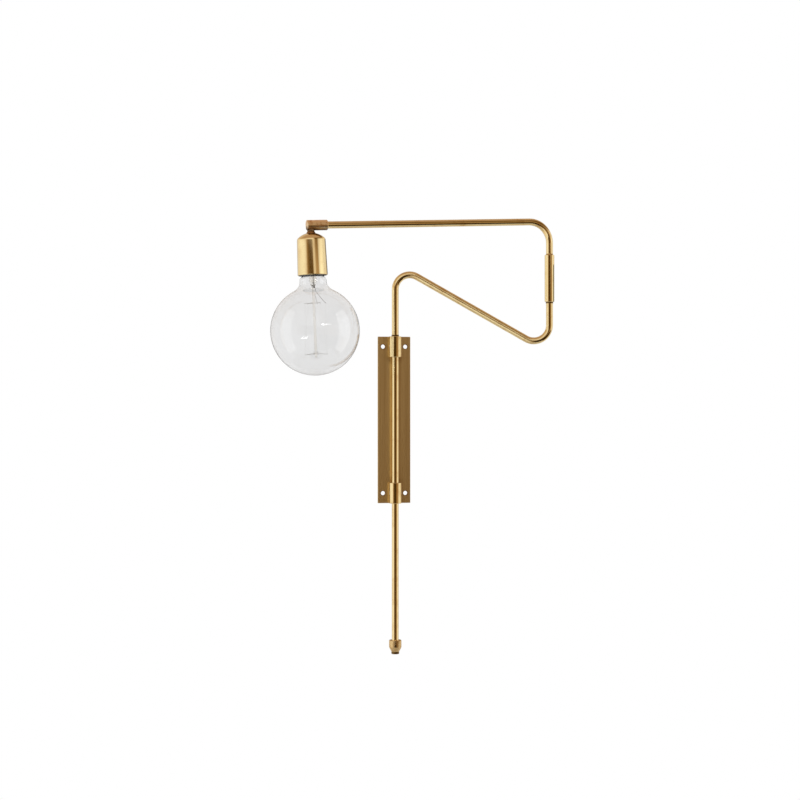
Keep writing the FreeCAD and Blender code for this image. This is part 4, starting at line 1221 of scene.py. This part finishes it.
@dataclass(frozen=True)
class SoftLight:
    """A rectangular lamp: its direction, as for a panel, its face, and how bright that is.

    The glow is in parts of the white background. A lamp that isn't seen through the glass shows
    there only as a highlight on its near face.
    """

    name: str
    azimuth: float
    elevation: float
    width: float
    height: float
    glow: float
    seen_through: bool = True


@dataclass
class Studio:
    """The camera of the photograph and the plain studio round the lamp.

    Each ring of panels fades into the next one between the two elevations of that one's edge.
    The camera's sight is in metres.
    """

    eye: tuple[float, float, float] = (-451.2, -2368.3, 28.9)
    yaw: float = 11.0
    focal_share: float = 1655.2 / 800
    sensor: float = 36.0
    sight: Point = (0.05, 50.0)
    floor_height: float = -1500.0
    floor_size: float = 2600.0
    level_panels: tuple[Panel, ...] = (
        Panel(-180, 0.2, 0.2), Panel(-168, 0.2, 0.2), Panel(-158, 0.6, 0.2), Panel(-146, 0.8, 0.5),
        Panel(-120, 0.85), Panel(-92, 0.92), Panel(-60, 0.98), Panel(-45, 0.82), Panel(-35, 0.36),
        Panel(-26, 0.15), Panel(-10, 0.05), Panel(11, 0.05), Panel(19, 0.15), Panel(30, 0.3),
        Panel(46, 0.4), Panel(57, 0.45), Panel(65, 0.8), Panel(80, 0.98), Panel(93, 0.9),
        Panel(106, 0.8), Panel(140, 0.75, 0.5), Panel(160, 0.6, 0.2), Panel(170, 0.3, 0.2),
        Panel(180, 0.2, 0.2))
    window_panels: tuple[Panel, ...] = (
        Panel(-180, 0.2, 0.2), Panel(-168, 0.2, 0.2), Panel(-158, 0.6, 0.2), Panel(-146, 0.8, 0.5),
        Panel(-92, 1.02), Panel(-60, 0.97), Panel(-45, 0.83), Panel(-34, 0.38), Panel(-25, 0.17),
        Panel(-10, 0.1), Panel(5, 0.11), Panel(10, 0.2), Panel(15, 0.75), Panel(26, 0.75),
        Panel(31, 0.52), Panel(44, 0.45), Panel(53, 0.5), Panel(61, 0.95), Panel(80, 1.2),
        Panel(93, 1.0), Panel(106, 0.9), Panel(135, 0.8, 0.5), Panel(147, 0.3, 0.3),
        Panel(165, 0.15, 0.2), Panel(180, 0.2, 0.2))
    low_panels: tuple[Panel, ...] = (
        Panel(-180, 0.5, 0.2), Panel(-160, 0.8, 0.2), Panel(-90, 0.95), Panel(-6, 1.0),
        Panel(4, 0.4), Panel(12, 0.03), Panel(72, 0.03), Panel(84, 0.4), Panel(110, 0.8, 0.5),
        Panel(165, 0.8, 0.2), Panel(180, 0.5, 0.2))
    high_panels: tuple[Panel, ...] = (
        Panel(-180, 0.3), Panel(-160, 0.75), Panel(-110, 0.8), Panel(-70, 0.85), Panel(-40, 0.8),
        Panel(14, 0.85), Panel(25, 0.65), Panel(33, 0.16), Panel(50, 0.14), Panel(64, 0.75),
        Panel(90, 0.95), Panel(160, 0.75), Panel(180, 0.3))
    upper_panels: tuple[Panel, ...] = (
        Panel(-180, 0.7), Panel(-110, 0.55), Panel(-70, 0.55), Panel(-40, 0.75), Panel(14, 0.8),
        Panel(25, 0.6), Panel(33, 0.16), Panel(60, 0.12), Panel(80, 0.2), Panel(110, 0.25),
        Panel(140, 0.7), Panel(180, 0.7))
    low_edge: Point = (-10.0, -13.5)
    window_edge: Point = (5.0, 5.6)
    high_edge: Point = (9.5, 12.5)
    upper_edge: Point = (22.0, 30.0)
    underside_edge: Point = (-60.0, -82.0)
    ceiling_edge: Point = (38.0, 62.0)
    underside: str = "#C0BBBC"
    ceiling: str = "#B59A86"
    warm_share: tuple[float, float, float] = (1.0, 0.55, 0.13)
    warm_levels: Point = (0.1, 0.9)
    warm_fall: float = 1.4
    white: Colour = (1.0, 1.0, 1.0, 1.0)
    surroundings: Colour = (0.9, 0.9, 0.9, 1.0)
    floor_colour: str = "#CFCDCA"
    floor_share: float = 0.9
    floor_glow: float = 1.05
    light_distance: float = 3000.0
    lights: tuple[SoftLight, ...] = (
        SoftLight("window", 20.0, 16.0, 150.0, 130.0, 24.0),
        SoftLight("window_ledge", 26.0, 16.0, 600.0, 60.0, 6.0),
        SoftLight("window_ledge_end", 36.0, 16.0, 640.0, 45.0, 3.0),
        SoftLight("low_window", -21.5, -17.0, 160.0, 140.0, 24.0),
        SoftLight("low_window_ledge", -30.0, -17.0, 760.0, 80.0, 6.0),
        SoftLight("left_softbox", -78.0, 0.0, 1900.0, 5200.0, 1.1, seen_through=False),
        SoftLight("right_softbox", 84.0, 0.0, 2100.0, 5200.0, 1.3, seen_through=False))

    def camera(self) -> None:
        """Sets the camera at the photograph's place and angle."""
        data = bpy.data.cameras.new("photo_camera")
        data.sensor_width = self.sensor
        data.lens = self.sensor * self.focal_share
        data.clip_start, data.clip_end = self.sight
        camera = bpy.data.objects.new("photo_camera", data)
        bpy.context.scene.collection.objects.link(camera)
        camera.location = Vector(self.eye) * MM
        camera.rotation_euler = (math.radians(90), 0.0, math.radians(-self.yaw))
        bpy.context.scene.camera = camera

    def panel_colour(self, panel: Panel) -> Colour:
        """Gives a panel's colour: neutral where it is bright and warmer where it is dark.

        Args:
            panel: The panel.

        Returns:
            Its colour, which is linear.
        """
        first, last = self.warm_levels
        share = min(1.0, max(0.0, (panel.level - first) / (last - first))) ** self.warm_fall
        share = 1 - (1 - share) * panel.warmth
        red, green, blue = [panel.level * (warm + (1 - warm) * share) for warm in self.warm_share]
        return red, green, blue, 1.0

    def ring(self, tree: Tree, place: Socket, panels: tuple[Panel, ...]) -> Socket:
        """Adds the panels of one height.

        Args:
            tree: The world's tree.
            place: The azimuth, from 0 to 1 round the lamp.
            panels: The panels in order.

        Returns:
            The colour in a direction.
        """
        node = add_node(tree, "ShaderNodeValToRGB", {"Fac": place})
        set_stops(node, [((panel.azimuth + 180) / 360, self.panel_colour(panel))
                         for panel in panels])
        return node.outputs["Color"]

    def world(self) -> None:
        """Lights the lamp from a world of soft panels that camera and glass see as plain white."""
        world = bpy.data.worlds.new("studio")
        bpy.context.scene.world = world
        world.use_nodes = True
        tree = world.node_tree
        tree.nodes.clear()
        yaw = math.radians(self.yaw)
        way = add_node(tree, "ShaderNodeTexCoord").outputs["Generated"]
        right, back = [add_node(tree, "ShaderNodeVectorMath", {0: way, 1: side},
                                operation="DOT_PRODUCT").outputs["Value"]
                       for side in ((math.cos(yaw), -math.sin(yaw), 0.0),
                                    (-math.sin(yaw), -math.cos(yaw), 0.0))]
        azimuth = add_node(tree, "ShaderNodeMath", {0: right, 1: back}, operation="ARCTAN2")
        place = add_node(tree, "ShaderNodeMapRange",
                         {"Value": azimuth.outputs[0], "From Min": -math.pi,
                          "From Max": math.pi}).outputs["Result"]
        parts = add_node(tree, "ShaderNodeSeparateXYZ", {0: way})
        rise = add_node(tree, "ShaderNodeMath", {0: parts.outputs["Z"]}, operation="ARCSINE")
        room = self.ring(tree, place, self.level_panels)
        layers = [(self.ring(tree, place, self.low_panels), self.low_edge),
                  (self.ring(tree, place, self.window_panels), self.window_edge),
                  (self.ring(tree, place, self.high_panels), self.high_edge),
                  (self.ring(tree, place, self.upper_panels), self.upper_edge),
                  (linear(self.underside), self.underside_edge),
                  (linear(self.ceiling), self.ceiling_edge)]
        for colour, (first, last) in layers:
            share = add_node(tree, "ShaderNodeMapRange", {"Value": rise.outputs[0],
                                                          "From Min": math.radians(first),
                                                          "From Max": math.radians(last)},
                             interpolation_type="SMOOTHSTEP")
            room = add_node(tree, "ShaderNodeMix", {"Factor": share.outputs["Result"], "A": room,
                                                    "B": colour}, data_type="RGBA").outputs[2]
        shown = add_node(tree, "ShaderNodeMix", {"Factor": seen_straight(tree), "A": room,
                                                 "B": self.white}, data_type="RGBA")
        light = add_node(tree, "ShaderNodeLightPath")
        even = add_node(tree, "ShaderNodeMix", {"Factor": light.outputs["Is Diffuse Ray"],
                                                "A": shown.outputs[2],
                                                "B": self.surroundings}, data_type="RGBA")
        glow = add_node(tree, "ShaderNodeBackground", {"Color": even.outputs[2], "Strength": 1.0})
        add_node(tree, "ShaderNodeOutputWorld", {"Surface": glow.outputs[0]})

    def floor(self) -> None:
        """Lays a pale floor far below the lamp, white to the camera but for a soft shadow."""
        bpy.ops.object.select_all(action="DESELECT")
        bpy.ops.mesh.primitive_plane_add(size=self.floor_size * MM,
                                         location=(0.0, 0.0, self.floor_height * MM))
        floor = bpy.context.object
        floor.name = "floor"
        material = bpy.data.materials.new("pale_floor")
        material.use_nodes = True
        tree = material.node_tree
        tree.nodes.clear()
        matt = add_node(tree, "ShaderNodeBsdfDiffuse", {"Color": linear(self.floor_colour)})
        white = add_node(tree, "ShaderNodeEmission",
                         {"Color": self.white, "Strength": self.floor_glow})
        share = add_node(tree, "ShaderNodeMath", {0: seen_straight(tree), 1: self.floor_share},
                         operation="MULTIPLY")
        mixed = add_node(tree, "ShaderNodeMixShader", {0: share.outputs[0], 1: matt.outputs[0],
                                                       2: white.outputs[0]})
        add_node(tree, "ShaderNodeOutputMaterial", {"Surface": mixed.outputs[0]})
        floor.data.materials.append(material)

    def light(self, light: SoftLight, lit: bpy.types.Collection) -> None:
        """Hangs a lamp that faces the object and is turned on some of its pieces alone.

        Args:
            light: The lamp.
            lit: The pieces that it lights.
        """
        data = bpy.data.lights.new(light.name, "AREA")
        data.shape = "RECTANGLE"
        data.size, data.size_y = light.width * MM, light.height * MM
        data.energy = light.glow * math.pi * data.size * data.size_y
        lamp = bpy.data.objects.new(light.name, data)
        bpy.context.scene.collection.objects.link(lamp)
        around = math.radians(light.azimuth) - math.radians(90 + self.yaw)
        rise = math.radians(light.elevation)
        way = Vector((math.cos(around) * math.cos(rise), math.sin(around) * math.cos(rise),
                      math.sin(rise)))
        lamp.location = way * self.light_distance * MM
        lamp.rotation_mode = "QUATERNION"
        lamp.rotation_quaternion = way.to_track_quat("Z", "Y")
        lamp.light_linking.receiver_collection = lit
        lamp.visible_camera = False
        lamp.visible_transmission = light.seen_through

    def build(self, glass: Iterable[Piece]) -> None:
        """Sets up the whole studio.

        Args:
            glass: The pieces that the lamps are turned on.
        """
        bpy.context.scene.view_settings.view_transform = "Standard"
        lit = bpy.data.collections.new("glass_only")
        for piece in glass:
            lit.objects.link(piece)
        self.camera()
        self.world()
        self.floor()
        for light in self.lights:
            self.light(light, lit)


def main() -> None:
    """Builds the lamp and the studio, and reports each piece."""
    logging.basicConfig(level=logging.INFO, format="%(message)s")
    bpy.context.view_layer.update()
    finisher, rig = Finisher(), Rig()
    for part in (WallBracket(finisher, rig, "wall_bracket"), LowerArm(finisher, rig, "lower_arm"),
                 UpperArm(finisher, rig, "upper_arm"), Lampholder(finisher, rig, "upper_arm"),
                 Bulb(finisher, rig, "bulb")):
        LOG.info("building %s", type(part).__name__)
        part.build()
        part.dress()
    Studio().build([bpy.data.objects["blown_globe"]])


if __name__ == "__main__":
    main()
